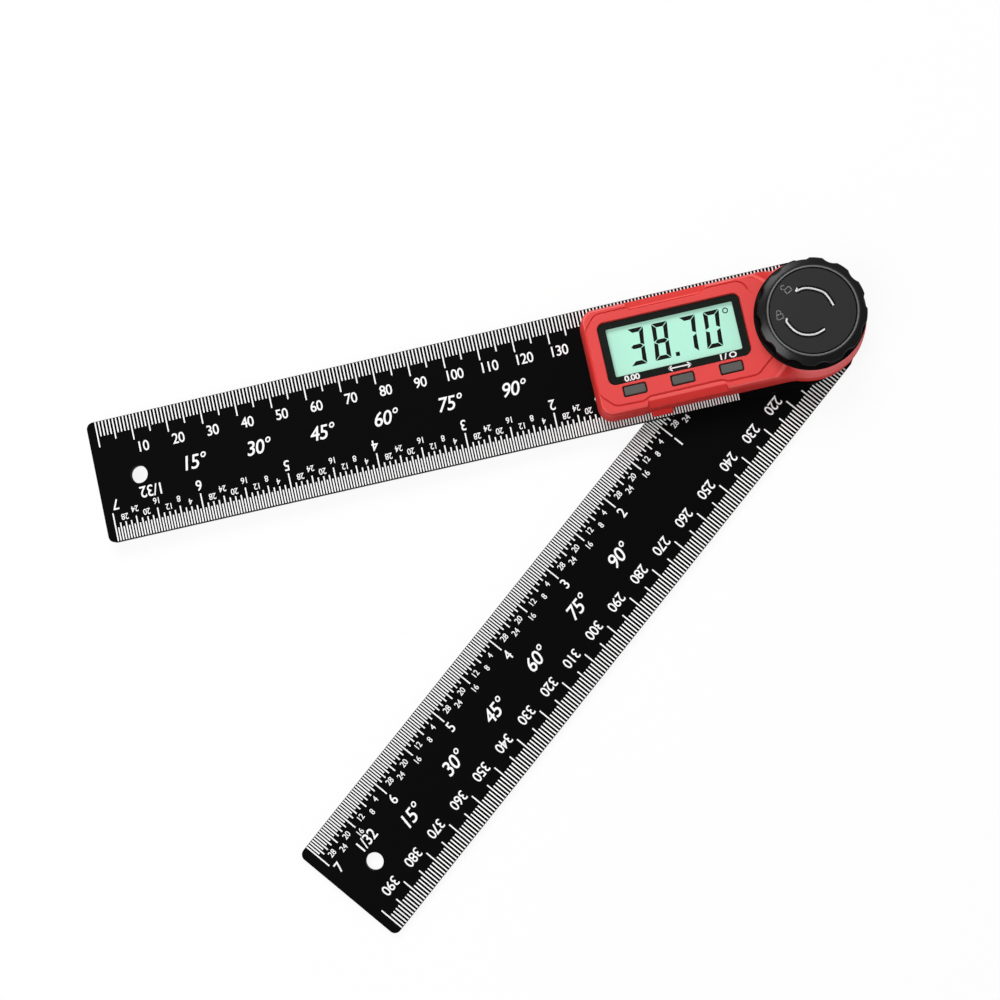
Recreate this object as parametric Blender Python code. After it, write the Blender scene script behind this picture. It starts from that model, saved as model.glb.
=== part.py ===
"""Angle finder with two ruler arms, a display housing and a clamp knob.

Z is the pivot axis, and z = 0 is the flat underside of the lower arm. The upper arm runs along -X.
The lower arm lies under it, opened by ARM_ANGLE about the pivot. The deck is the upper arm's top
face: the housing, its works and the knob are built up from it, and so are their heights below.
"""

import math

import bmesh
import bpy
from mathutils import Vector

MM = 0.001

# Fits and facets
SEAT_GAP = 0.2 * MM
RUN_GAP = 0.15 * MM
OVERRUN = 1 * MM
EDGE = 0.25 * MM
ROUND_STEPS = 48
INNER_STEPS = 32
SMALL_STEPS = 20
CORNER_STEPS = 4
SHARP_ANGLE = math.radians(30)

# Arms
ARM_WIDTH = 34.65 * MM
ARM_THICKNESS = 2.5 * MM
ARM_SCALE = 200 * MM
ARM_END = 1.7 * MM
ARM_CORNER = 2 * MM
PIVOT_END_INSET = 0.9 * MM
PIVOT_END_ANGLE = math.radians(80)
ARM_GAP = 0.5 * MM
ARM_ANGLE = math.radians(38.7)
HANG_HOLE = 5 * MM
HANG_HOLE_MARGIN = 10.7 * MM
ARM_REACH = ARM_SCALE + ARM_END
DECK = 2 * ARM_THICKNESS + ARM_GAP

# Pivot
HEAD_DIAMETER = 17 * MM
HEAD_THICKNESS = 1 * MM
KEY_WIDTH = 10 * MM
JOURNAL_DIAMETER = 8 * MM
SPINDLE_DIAMETER = 6.4 * MM
SPINDLE_FLATS = 5.2 * MM
NECK_DIAMETER = 4.2 * MM
THREAD_DIAMETER = 5 * MM
BUSH_WALL = 1.05 * MM
BUSH_FLANGE = 2 * MM
BUSH_FLANGE_THICKNESS = 0.6 * MM
SLIP_DIAMETER = 23 * MM
SLIP_SEAT = 0.3 * MM

# Heights above the deck, from the coin cell up to the window
TRAY_FLOOR = 0.5 * MM
CELL_DIAMETER = 20 * MM
CELL_HEIGHT = 3.2 * MM
CONTACT_ROOM = 0.7 * MM
BOARD_THICKNESS = 0.8 * MM
LIGHT_THICKNESS = 0.7 * MM
GLASS_THICKNESS = 1.4 * MM
LEDGE_THICKNESS = 0.8 * MM
WINDOW_THICKNESS = 0.8 * MM
WINDOW_SINK = 0.1 * MM
CELL_LOW = TRAY_FLOOR + 2 * RUN_GAP
CELL_TOP = CELL_LOW + CELL_HEIGHT
BOARD_LOW = CELL_TOP + CONTACT_ROOM
BOARD_TOP = BOARD_LOW + BOARD_THICKNESS
LIGHT_LOW = BOARD_TOP + SEAT_GAP
LIGHT_TOP = LIGHT_LOW + LIGHT_THICKNESS
GLASS_LOW = LIGHT_TOP + SEAT_GAP
GLASS_TOP = GLASS_LOW + GLASS_THICKNESS
ROOF_LOW = GLASS_TOP + SEAT_GAP
WINDOW_SEAT = ROOF_LOW + LEDGE_THICKNESS
WINDOW_LOW = WINDOW_SEAT + SEAT_GAP
WINDOW_TOP = WINDOW_LOW + WINDOW_THICKNESS
HOUSING_TOP = WINDOW_TOP + WINDOW_SINK

# Housing
HOUSING_REACH = 61.3 * MM
HOUSING_HALF = 15.4 * MM
HOUSING_CORNER = 4.2 * MM
ROTOR_DIAMETER = 27.2 * MM
HUB_CLEARANCE = 3.1 * MM
HUB_RADIUS = ROTOR_DIAMETER / 2 + HUB_CLEARANCE
WALL = 1.3 * MM
BEVEL = 1.25 * MM
PANEL_STEP = 0.25 * MM
SHOULDER = HOUSING_TOP - PANEL_STEP
TURN_STEPS = 6
# Height, inset and flare of each level of the outer wall, as shares of SHOULDER, BEVEL and 1
WALL_LEVEL_shares = ((0, 0, 1), (0.42, 0.14, 0.9), (0.79, 0.28, 0.7), (0.91, 0.56, 0.35), (1, 1, 0))
# Radius and height of each level of the hub, as shares of HUB_RADIUS and SHOULDER
HUB_LEVEL_shares = ((1, 0), (0.975, 0.4), (0.955, 0.65), (0.925, 0.82), (0.895, 0.93), (0.85, 1))
# Where the long side ends, and where it has turned into the hub, at the foot and at the top
FOOT_TURN_share, TOP_TURN_share = 0.51, 0.77
FOOT_JOIN_share, TOP_JOIN_share = 0.97, 0.7
FOOT_JOIN_ANGLE, TOP_JOIN_ANGLE = math.radians(100.5), math.radians(130)
# Corners of the raised panel, as shares of HOUSING_REACH and HOUSING_HALF
PANEL_shares = (
    (0.98, -0.563), (0.922, -0.802), (0.795, -0.821), (0.769, -0.763), (0.439, -0.758),
    (0.413, -0.812), (0.277, -0.812), (0.237, -0.672), (0.163, -0.455), (0.163, 0.455),
    (0.24, 0.677), (0.249, 0.774), (0.264, 0.842), (0.287, 0.876), (0.418, 0.876),
    (0.449, 0.805), (0.769, 0.805), (0.783, 0.856), (0.926, 0.852), (0.98, 0.611),
)
# Bevelled grip on each long side: its ends along HOUSING_REACH and its depth into the wall
GRIP_NEAR_share, GRIP_FAR_share = 0.411, 0.795
GRIP_INSET = 3.25 * MM
GRIP_DROP = 2.8 * MM
GRIP_SLANT = 1.2 * MM

# Window, display and buttons
WINDOW_MARGIN = 4.2 * MM
WINDOW_KNOB_MARGIN = 2.1 * MM
WINDOW_BUTTON_MARGIN = 8.5 * MM
WINDOW_SIDE_MARGIN = 4.7 * MM
WINDOW_CORNER = 2 * MM
WINDOW_EDGE = 0.15 * MM
BORDER_SIDE = 2.3 * MM
BORDER_TOP = 2.05 * MM
BORDER_LABELS = 2.2 * MM
GLASS_LAP = 0.8 * MM
LIGHT_INSET = 1.6 * MM
STRIP_WIDTH = 1.2 * MM
SMALL_CORNER = 0.4 * MM
BUTTON_LENGTH = 5.9 * MM
BUTTON_WIDTH = 2.4 * MM
BUTTON_SLOT_GAP = 0.26 * MM
BUTTON_ROW = 2.3 * MM
BUTTON_PROUD = 0.1 * MM
BUTTON_FLANGE = 0.6 * MM
BUTTON_FLANGE_THICKNESS = 0.5 * MM
BUTTON_STEM = 2 * MM
BUTTON_TRAVEL = 0.5 * MM
BUTTON_NAMES = ("zero", "hold", "power")
# Button centres along the window, from its far end
BUTTON_shares = (0.164, 0.498, 0.838)
DOME_DIAMETER = 4.4 * MM
DOME_HEIGHT = 0.5 * MM
DOME_shares = ((1, 0), (1, 0.25), (0.8, 0.65), (0.45, 0.92), (0.2, 1))

# Battery tray and its contacts
TRAY_RAIL = 1 * MM
TRAY_FRONT = 1.5 * MM
TRAY_OPEN = 0.8 * MM
TRAY_PORT = 8 * MM
GUIDE = 1 * MM
GUIDE_LENGTH = 7 * MM
LIP_LENGTH = 5.9 * MM
LIP_PROUD = 1.35 * MM
LIP_THICKNESS = 1.5 * MM
LIP_INSET = 1.2 * MM
LIP_CORNER = 0.6 * MM
CELL_STEP = 1.1 * MM
CELL_CAP = 0.5 * MM
LEAF = 0.2 * MM
LEAF_WIDTH = 4 * MM
LEAF_FOOT = 3 * MM

# Board, encoder and screws
BOARD_GAP = 0.35 * MM
BOARD_CORNER = 2.5 * MM
CHIP_SIDE = 5 * MM
CHIP_HEIGHT = 0.9 * MM
CHIP_EDGE = 0.5 * MM
CHIP_share = 0.6
CHIP_SIDE_share = 0.47
ROTOR_THICKNESS = 0.6 * MM
ROTOR_AIR_GAP = 0.5 * MM
ROTOR_FLANGE = 18 * MM
ROTOR_FLANGE_THICKNESS = 0.9 * MM
ROTOR_SLEEVE = 11 * MM
CLIP_DIAMETER = 8 * MM
CLIP_THICKNESS = 0.4 * MM
CLIP_MOUTH = 2.6 * MM
PILLAR_DIAMETER = 4.8 * MM
PILLAR_INSET = 3.35 * MM
PILLAR_HUB_SPACE = 0.8 * MM
SCREW_HEAD = 3.8 * MM
SCREW_HEAD_HEIGHT = 1.1 * MM
SCREW_DIAMETER = 2.2 * MM
SCREW_GRIP = 5 * MM
BOARD_SCREW_HEAD = 3.2 * MM
BOARD_SCREW_HEAD_HEIGHT = 0.7 * MM
BOARD_SCREW_DIAMETER = 1.6 * MM
BOARD_SCREW_GRIP = 1.8 * MM
BOARD_SCREW_MARGIN = 3.7 * MM
BOARD_BOSS = 3.4 * MM
SCREW_TIP_share = 0.6

# Knob
KNOB_LIFT = 0.3 * MM
KNOB_HEIGHT = 6.4 * MM
KNOB_FLANGE_RADIUS = 15.2 * MM
KNOB_CREST_RADIUS = 14.75 * MM
KNOB_WALL = 1.7 * MM
KNOB_ROOF = 1 * MM
KNOB_BOSS = 12.4 * MM
KNOB_RIM = 12.3 * MM
KNOB_RIM_WIDTH = 0.45 * MM
FLUTES = 12
FLUTE_DEPTH = 0.55 * MM
FLUTE_RADIUS = 3.9 * MM
FLUTE_PHASE = math.radians(-2)
CAP_THICKNESS = 0.45 * MM
CAP_SINK = 0.2 * MM
KNOB_WASHER_DIAMETER = 17 * MM
KNOB_WASHER_THICKNESS = 0.8 * MM
INSERT_WALL = 1.4 * MM
# Radius inset from the crest, height and flute depth of each level of the knob's outside, as
# shares of the shoulder's width, KNOB_HEIGHT and FLUTE_DEPTH
KNOB_LEVEL_shares = (
    (0, 0.17, 0.9), (0.04, 0.5, 1), (0.1, 0.8, 1), (0.22, 0.86, 0.8), (1, 0.975, 0), (1.07, 1, 0),
)
KNOB_FLANGE_share = 0.12

# Places that several pieces share: the knob's own heights are counted from its base
KNOB_BASE = HOUSING_TOP + KNOB_LIFT
KNOB_FLOOR = KNOB_HEIGHT - CAP_SINK - CAP_THICKNESS - SEAT_GAP
WASHER_LOW = SHOULDER + RUN_GAP - KNOB_BASE
BOSS_LOW = WASHER_LOW + KNOB_WASHER_THICKNESS + RUN_GAP
INSERT_TOP = KNOB_FLOOR - KNOB_ROOF
THREAD_TOP = KNOB_BASE + INSERT_TOP - SEAT_GAP
WINDOW_FAR = -(HOUSING_REACH - WINDOW_MARGIN)
WINDOW_NEAR = -(KNOB_FLANGE_RADIUS + WINDOW_KNOB_MARGIN)
WINDOW_LOW_SIDE = -(HOUSING_HALF - WINDOW_BUTTON_MARGIN)
WINDOW_HIGH_SIDE = HOUSING_HALF - WINDOW_SIDE_MARGIN
VIEW_LOW = (WINDOW_FAR + BORDER_SIDE, WINDOW_LOW_SIDE + BORDER_LABELS)
VIEW_HIGH = (WINDOW_NEAR - BORDER_SIDE, WINDOW_HIGH_SIDE - BORDER_TOP)
BUTTON_Y = WINDOW_LOW_SIDE - BUTTON_ROW
TRAY_X = -HOUSING_REACH * (GRIP_NEAR_share + GRIP_FAR_share) / 2
TRAY_HALF = CELL_DIAMETER / 2 + RUN_GAP + TRAY_RAIL
TRAY_TOP = CELL_TOP
TRAY_FACE = -HOUSING_HALF + EDGE / 2
CELL_Y = TRAY_FACE + TRAY_FRONT + RUN_GAP + CELL_DIAMETER / 2
JOURNAL_TOP = SEAT_GAP + BUSH_FLANGE_THICKNESS + RUN_GAP
ROTOR_HUB_LOW = JOURNAL_TOP + RUN_GAP
ROTOR_LOW = BOARD_LOW - ROTOR_AIR_GAP - ROTOR_THICKNESS
ROTOR_HUB_TOP = ROTOR_LOW - SEAT_GAP
INNER_INSET = WALL + BEVEL * WALL_LEVEL_shares[2][1]
HUB_ROOM = HUB_RADIUS * HUB_LEVEL_shares[3][0] - WALL
PILLARS = [
    (x, side * (HOUSING_HALF - PILLAR_INSET))
    for x in (
        -(HOUSING_REACH - PILLAR_INSET),
        WINDOW_NEAR + PILLAR_HUB_SPACE - PILLAR_DIAMETER / 4,
    )
    for side in (-1, 1)
]
BOARD_SCREWS = [
    (-(HOUSING_REACH - BOARD_SCREW_MARGIN), 0),
    (-(ROTOR_DIAMETER / 2 + BOARD_SCREW_HEAD / 2 + ROTOR_AIR_GAP), 0),
]


def mix(a, b, share):
    return a + (b - a) * share


def arc(centre, radius, start, end, steps):
    """Points along an arc, both ends included."""
    return [
        (centre[0] + radius * math.cos(a), centre[1] + radius * math.sin(a))
        for a in (mix(start, end, i / steps) for i in range(steps + 1))
    ]


def circle(radius, steps=ROUND_STEPS, centre=(0, 0)):
    return arc(centre, radius, 0, math.tau * (steps - 1) / steps, steps - 1)


def round_box(low, high, corner, inset=0, steps=CORNER_STEPS):
    """Anticlockwise outline of a rectangle with round corners, drawn in by inset."""
    radius = corner - inset
    left, right = low[0] + corner, high[0] - corner
    bottom, top = low[1] + corner, high[1] - corner
    centres = ((right, top), (left, top), (left, bottom), (right, bottom))
    return [
        point
        for turn, centre in enumerate(centres)
        for point in arc(centre, radius, turn * math.pi / 2, (turn + 1) * math.pi / 2, steps)
    ]


def at_height(outline, height):
    return [(x, y, height) for x, y in outline]


def loft(rings, ring_closed=False):
    """Closed skin through rings of equal count, lowest first, each anticlockwise from above."""
    bm = bmesh.new()
    loops = [[bm.verts.new(point) for point in ring] for ring in rings]
    pairs = list(zip(loops, loops[1:]))
    if ring_closed:
        pairs.append((loops[-1], loops[0]))
    else:
        bm.faces.new(reversed(loops[0]))
        bm.faces.new(loops[-1])
    for lower, upper in pairs:
        for i, corner in enumerate(lower):
            j = (i + 1) % len(lower)
            bm.faces.new((corner, lower[j], upper[j], upper[i]))
    return bm


def prism(outline, low, high):
    return loft([at_height(outline, low), at_height(outline, high)])


def slab(low, high, corner, bottom, top, edge=0.0):
    """Flat block with round corners and a bevelled upper edge."""
    rings = [at_height(round_box(low, high, corner), bottom)]
    if edge:
        rings.append(at_height(round_box(low, high, corner), top - edge))
    rings.append(at_height(round_box(low, high, corner, edge), top))
    return loft(rings)


def turned(profile, steps=ROUND_STEPS, centre=(0, 0)):
    """Solid turned about an upright axis, from (radius, height) pairs, bottom to top."""
    return loft([at_height(circle(radius, steps, centre), height) for radius, height in profile])


def ring(inner, outer, low, high, steps=ROUND_STEPS):
    profile = ((inner, low), (outer, low), (outer, high), (inner, high))
    return loft([at_height(circle(radius, steps), height) for radius, height in profile], True)


def strip(path, width):
    """Bent leaf of thickness LEAF along (y, z) points, lying across X by its width."""
    sides = ([], [])
    for i, here in enumerate(path):
        before, after = path[max(i - 1, 0)], path[min(i + 1, len(path) - 1)]
        ways = [
            Vector(b) - Vector(a) for a, b in ((before, here), (here, after)) if a != b
        ]
        normals = [Vector((-way.y, way.x)).normalized() for way in ways]
        normal = sum(normals, Vector((0, 0))).normalized()
        offset = normal * LEAF / 2 / normal.dot(normals[0])
        sides[0].append(Vector(here) + offset)
        sides[1].append(Vector(here) - offset)
    section = sides[1] + sides[0][::-1]
    bm = loft([[(side * width / 2, p.x, p.y) for p in section] for side in (-1, 1)])
    bmesh.ops.recalc_face_normals(bm, faces=bm.faces)
    return bm


def finish(name, colour, roughness, metallic=0.0, alpha=1.0):
    material = bpy.data.materials.new(name)
    material.use_nodes = True
    shader = material.node_tree.nodes["Principled BSDF"]
    shader.inputs["Alpha"].default_value = alpha
    shader.inputs["Base Color"].default_value = (*colour, 1)
    shader.inputs["Roughness"].default_value = roughness
    shader.inputs["Metallic"].default_value = metallic
    return material


def frame_at(name, parent=None, place=(0, 0, 0), turn=0.0):
    """Empty that carries the pieces of one moving group."""
    empty = bpy.data.objects.new(name, None)
    empty.location = place
    empty.rotation_euler = (0, 0, turn)
    empty.parent = parent
    empty.empty_display_size = HEAD_DIAMETER
    bpy.context.scene.collection.objects.link(empty)
    return empty


def piece(name, bm, material, parent, origin=(0, 0, 0)):
    """Named object from a mesh drawn in its parent's frame, with its own origin at origin."""
    bmesh.ops.translate(bm, verts=bm.verts, vec=-Vector(origin))
    mesh = bpy.data.meshes.new(name)
    bm.to_mesh(mesh)
    bm.free()
    mesh.shade_smooth()
    mesh.set_sharp_from_angle(angle=SHARP_ANGLE)
    if material:
        mesh.materials.append(material)
    obj = bpy.data.objects.new(name, mesh)
    obj.location = origin
    obj.parent = parent
    bpy.context.scene.collection.objects.link(obj)
    return obj


def guide(name, bm, parent):
    """Cutter or added shape, used only by Booleans."""
    obj = piece(name, bm, None, parent)
    obj.hide_render = True
    obj.display_type = "WIRE"
    return obj


def combine(target, operation, *meshes):
    """Adds one Boolean step to target for each mesh, drawn in the frame of target's parent."""
    for mesh in meshes:
        number = len(target.modifiers) + 1
        step = target.modifiers.new(f"{operation.lower()}_{number}", "BOOLEAN")
        step.operation = operation
        step.solver = "EXACT"
        step.object = guide(f"{target.name}_{operation.lower()}_{number}", mesh, target.parent)


def cylinder(diameter, low, high, centre=(0, 0), steps=SMALL_STEPS):
    return turned(((diameter / 2, low), (diameter / 2, high)), steps, centre)


def arm_outline(inset):
    """Ruler with small round corners at its far end and a drawn-in round end about the pivot."""
    half = ARM_WIDTH / 2
    far = -ARM_REACH + ARM_CORNER
    side = half - ARM_CORNER
    corner = ARM_CORNER - inset
    points = arc((far, -side), corner, math.pi, math.pi * 3 / 2, CORNER_STEPS)
    end = half - inset - PIVOT_END_INSET
    points.append((-PIVOT_END_INSET, inset - half))
    points += arc((0, 0), end, -PIVOT_END_ANGLE, PIVOT_END_ANGLE, SMALL_STEPS)
    points.append((-PIVOT_END_INSET, half - inset))
    return points + arc((far, side), corner, math.pi / 2, math.pi, CORNER_STEPS)


def arm_blank(low):
    """Ruler with both edges bevelled and its hang hole still to be cut."""
    high = low + ARM_THICKNESS
    levels = ((low, EDGE), (low + EDGE, 0), (high - EDGE, 0), (high, EDGE))
    return loft([at_height(arm_outline(inset), height) for height, inset in levels])


def hang_hole(low):
    place = (-(ARM_REACH - HANG_HOLE_MARGIN), 0)
    return cylinder(HANG_HOLE, low - OVERRUN, low + ARM_THICKNESS + OVERRUN, place)


def countersink(height, grow=0.0):
    """Housing screw from its flat head up, larger all round by grow where it is a hole."""
    head, shank = SCREW_HEAD / 2 + grow, SCREW_DIAMETER / 2 + grow
    tip = height + ARM_THICKNESS + SCREW_GRIP + grow
    return (
        (head, height - (OVERRUN if grow else 0)),
        (head, height + EDGE),
        (shank, height + SCREW_HEAD_HEIGHT),
        (shank, tip - shank),
        (shank * SCREW_TIP_share, tip),
    )


def make_upper_arm(root, material, brass, steel):
    arm = piece("upper_arm", arm_blank(DECK - ARM_THICKNESS), material, root)
    bore = JOURNAL_DIAMETER + 2 * (RUN_GAP + BUSH_WALL + RUN_GAP)
    low = DECK - ARM_THICKNESS
    combine(arm, "DIFFERENCE", hang_hole(low), cylinder(bore, low - OVERRUN, DECK + OVERRUN))
    for place in PILLARS:
        combine(arm, "DIFFERENCE", turned(countersink(low + EDGE, RUN_GAP), SMALL_STEPS, place))
    inner = JOURNAL_DIAMETER / 2 + RUN_GAP
    outer = inner + BUSH_WALL
    seat, top = DECK + SEAT_GAP, DECK + SEAT_GAP + BUSH_FLANGE_THICKNESS
    profile = (
        (inner, low + RUN_GAP), (outer, low + RUN_GAP), (outer, seat),
        (outer + BUSH_FLANGE, seat), (outer + BUSH_FLANGE, top), (inner, top),
    )
    rings = [at_height(circle(radius, INNER_STEPS), height) for radius, height in profile]
    piece("pivot_bush", loft(rings, True), brass, root)
    for number, place in enumerate(PILLARS, 1):
        screw = turned(countersink(low + EDGE), SMALL_STEPS, place)
        piece(f"housing_screw_{number}", screw, steel, root, (*place, low + EDGE))


def make_lower_arm(axis, material, steel, nylon):
    arm = piece("lower_arm", arm_blank(0), material, axis)
    seat = ARM_THICKNESS - SLIP_SEAT
    key = KEY_WIDTH / 2 + RUN_GAP
    head = HEAD_DIAMETER + 2 * RUN_GAP
    combine(
        arm,
        "DIFFERENCE",
        hang_hole(0),
        cylinder(head, -OVERRUN, HEAD_THICKNESS + RUN_GAP, steps=ROUND_STEPS),
        cylinder(SLIP_DIAMETER + 2 * RUN_GAP, seat, ARM_THICKNESS + OVERRUN, steps=ROUND_STEPS),
        slab((-key, -key), (key, key), SMALL_CORNER, 0, ARM_THICKNESS),
    )
    slip_top = ARM_THICKNESS + ARM_GAP - RUN_GAP
    inner = JOURNAL_DIAMETER / 2 + RUN_GAP
    slip = ring(inner, SLIP_DIAMETER / 2, seat + RUN_GAP, slip_top, INNER_STEPS)
    piece("slip_washer", slip, nylon, axis)
    make_bolt(axis, steel)


def flatted(diameter, flats):
    """Outline of a round shaft with two flats, across Y."""
    return [(x, max(-flats / 2, min(flats / 2, y))) for x, y in circle(diameter / 2, SMALL_STEPS)]


def make_bolt(axis, steel):
    """Flat head, square key in the lower arm, journal in the bush, flatted spindle, thread."""
    journal, neck, thread = JOURNAL_DIAMETER / 2, NECK_DIAMETER / 2, THREAD_DIAMETER / 2
    head, shoulder, neck_low = HEAD_DIAMETER / 2, DECK + JOURNAL_TOP, DECK + ROTOR_HUB_TOP + RUN_GAP / 2
    neck_top, tip = neck_low + CLIP_THICKNESS + 2 * RUN_GAP, DECK + THREAD_TOP
    profile = (
        (head - EDGE, 0), (head, EDGE), (head, HEAD_THICKNESS), (journal, HEAD_THICKNESS),
        (journal, shoulder), (neck, shoulder), (neck, neck_top), (thread, neck_top),
        (thread, tip - EDGE), (thread - EDGE, tip),
    )
    bolt = piece("pivot_bolt", turned(profile, INNER_STEPS), steel, axis)
    key, key_top = KEY_WIDTH / 2, ARM_THICKNESS - SLIP_SEAT
    combine(
        bolt,
        "UNION",
        slab((-key, -key), (key, key), SMALL_CORNER, HEAD_THICKNESS / 2, key_top),
        prism(flatted(SPINDLE_DIAMETER, SPINDLE_FLATS), shoulder - JOURNAL_TOP / 2, neck_low),
    )


def make_rotor(axis, plastic, laminate, steel):
    """Encoder rotor on the bolt's flatted spindle, and the clip that keeps it there."""
    low, top = DECK + ROTOR_HUB_LOW, DECK + ROTOR_HUB_TOP
    sleeve, flange, flange_low = ROTOR_SLEEVE / 2, ROTOR_FLANGE / 2, top - ROTOR_FLANGE_THICKNESS
    profile = ((sleeve, low), (sleeve, flange_low), (flange, flange_low), (flange, top))
    hub = piece("rotor_hub", turned(profile, INNER_STEPS), plastic, axis)
    bore = flatted(SPINDLE_DIAMETER + 2 * RUN_GAP, SPINDLE_FLATS + 2 * RUN_GAP)
    combine(hub, "DIFFERENCE", prism(bore, low - OVERRUN, top + OVERRUN))
    inner = CLIP_DIAMETER / 2 + SEAT_GAP
    disc_low = DECK + ROTOR_LOW
    disc = ring(inner, ROTOR_DIAMETER / 2, disc_low, disc_low + ROTOR_THICKNESS, INNER_STEPS)
    piece("rotor_disc", disc, laminate, axis)
    clip_low = top + RUN_GAP
    grip, clip_top = NECK_DIAMETER / 2 + RUN_GAP, clip_low + CLIP_THICKNESS
    body = ring(grip, CLIP_DIAMETER / 2, clip_low, clip_top, SMALL_STEPS)
    clip = piece("rotor_clip", body, steel, axis)
    mouth = CLIP_MOUTH / 2
    opening = slab(
        (0, -mouth), (CLIP_DIAMETER, mouth), SMALL_CORNER, clip_low - OVERRUN, clip_low + OVERRUN
    )
    combine(clip, "DIFFERENCE", opening)


def wall_outline(inset, flare):
    """One level of the housing: round far corners, long sides, and each side's turn into the hub."""
    half, radius = HOUSING_HALF - inset, HOUSING_CORNER - inset
    far = -(HOUSING_REACH - HOUSING_CORNER)
    lower = arc((far, -half + radius), radius, math.pi, math.pi * 3 / 2, CORNER_STEPS)
    turn_x = -HUB_RADIUS * mix(TOP_TURN_share, FOOT_TURN_share, flare)
    hub = HUB_RADIUS - inset
    ends = [
        (share * hub * math.cos(angle), -share * hub * math.sin(angle))
        for share, angle in ((TOP_JOIN_share, TOP_JOIN_ANGLE), (FOOT_JOIN_share, FOOT_JOIN_ANGLE))
    ]
    join_x, join_y = (mix(top, foot, flare) for top, foot in zip(*ends))
    for i in range(TURN_STEPS + 1):
        share = i / TURN_STEPS
        eased = mix(share, share * share * (3 - 2 * share), flare)
        lower.append((mix(turn_x, join_x, share), mix(-half, join_y, eased)))
    return lower + [(x, -y) for x, y in reversed(lower)]


def wall_rings(inset=0.0, top=SHOULDER):
    """Levels of the housing's wall, drawn in by inset, up to the height top."""
    return [
        at_height(wall_outline(inset + BEVEL * depth, flare), top * height)
        for height, depth, flare in WALL_LEVEL_shares
    ]


def grip_cutter(side):
    """Wedge that bevels one long side where the fingers hold it."""
    inner, outer = HOUSING_HALF - GRIP_INSET, HOUSING_HALF + OVERRUN
    low = SHOULDER - GRIP_DROP * (outer - inner) / GRIP_INSET
    section = ((inner, SHOULDER), (inner, SHOULDER + OVERRUN), (outer, SHOULDER + OVERRUN), (outer, low))
    rings = []
    for share, way in ((GRIP_FAR_share, 1), (GRIP_NEAR_share, -1)):
        x = -HOUSING_REACH * share
        slant = way * GRIP_SLANT
        rings.append([(x + (slant if y == inner else 0), side * y, z) for y, z in section])
    bm = loft(rings)
    bmesh.ops.recalc_face_normals(bm, faces=bm.faces)
    return bm


def make_housing(deck, material):
    """Shell with panel, grips, hub, window seat, button slots, tray slot, pillars and guides."""
    body = [[(x, y, max(z, SEAT_GAP)) for x, y, z in level] for level in wall_rings()]
    shell = piece("housing", loft(body), material, deck)
    hub = [(HUB_RADIUS * radius, max(SHOULDER * height, SEAT_GAP)) for radius, height in HUB_LEVEL_shares]
    panel = [(-HOUSING_REACH * x, HOUSING_HALF * y) for x, y in PANEL_shares]
    combine(shell, "UNION", turned(hub))
    combine(shell, "DIFFERENCE", grip_cutter(-1), grip_cutter(1))
    combine(shell, "UNION", prism(panel, SHOULDER - PANEL_STEP * 2, HOUSING_TOP))

    cavity = wall_rings(WALL, ROOF_LOW)
    cavity[0] = [(x, y, -OVERRUN) for x, y, z in cavity[0]]
    hub_room = cylinder(2 * HUB_ROOM, -OVERRUN, ROOF_LOW, steps=ROUND_STEPS)
    combine(shell, "DIFFERENCE", loft(cavity), hub_room)

    pillar_low, roof = SEAT_GAP, ROOF_LOW + EDGE
    for place in PILLARS:
        combine(shell, "UNION", cylinder(PILLAR_DIAMETER, pillar_low, roof, place))
    for place in BOARD_SCREWS:
        combine(shell, "UNION", cylinder(BOARD_BOSS, BOARD_TOP + SEAT_GAP, roof, place))
    for side in (-1, 1):
        near = TRAY_X + side * (TRAY_HALF + 2 * RUN_GAP)
        left, right = sorted((near, near + side * GUIDE))
        wall_side = -(HOUSING_HALF - WALL / 2)
        rib = slab(
            (left, wall_side), (right, wall_side + GUIDE_LENGTH), EDGE, pillar_low, BOARD_LOW - SEAT_GAP
        )
        combine(shell, "UNION", rib)
    for place in PILLARS:
        hole = cylinder(SCREW_DIAMETER + 2 * RUN_GAP, -OVERRUN, SCREW_GRIP + 2 * SEAT_GAP, place)
        combine(shell, "DIFFERENCE", hole)
    high = board_screw_tip() + SEAT_GAP
    for place in BOARD_SCREWS:
        hole = cylinder(BOARD_SCREW_DIAMETER + 2 * RUN_GAP, BOARD_LOW, high, place)
        combine(shell, "DIFFERENCE", hole)

    seat_low, seat_high = (WINDOW_FAR, WINDOW_LOW_SIDE), (WINDOW_NEAR, WINDOW_HIGH_SIDE)
    view_low = tuple(value - EDGE for value in VIEW_LOW)
    view_high = tuple(value + EDGE for value in VIEW_HIGH)
    above = HOUSING_TOP + OVERRUN
    combine(
        shell,
        "DIFFERENCE",
        slab(seat_low, seat_high, WINDOW_CORNER, WINDOW_SEAT, above),
        slab(view_low, view_high, SMALL_CORNER, ROOF_LOW - EDGE, WINDOW_SEAT + EDGE),
        cylinder(THREAD_DIAMETER + 4 * RUN_GAP, ROOF_LOW - OVERRUN, above),
    )
    for x in button_places():
        slot = button_slab(x, BUTTON_SLOT_GAP, ROOF_LOW - OVERRUN, above)
        combine(shell, "DIFFERENCE", slot)
    left, right = TRAY_X - TRAY_HALF - RUN_GAP, TRAY_X + TRAY_HALF + RUN_GAP
    outside, inside = -HOUSING_HALF - OVERRUN, -HOUSING_HALF + 2 * WALL
    slot = slab((left, outside), (right, inside), EDGE, -OVERRUN, TRAY_TOP + RUN_GAP)
    combine(shell, "DIFFERENCE", slot)


def board_screw_tip():
    return BOARD_TOP + SEAT_GAP + BOARD_SCREW_GRIP


def button_places():
    return [mix(WINDOW_FAR, WINDOW_NEAR, share) for share in BUTTON_shares]


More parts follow.
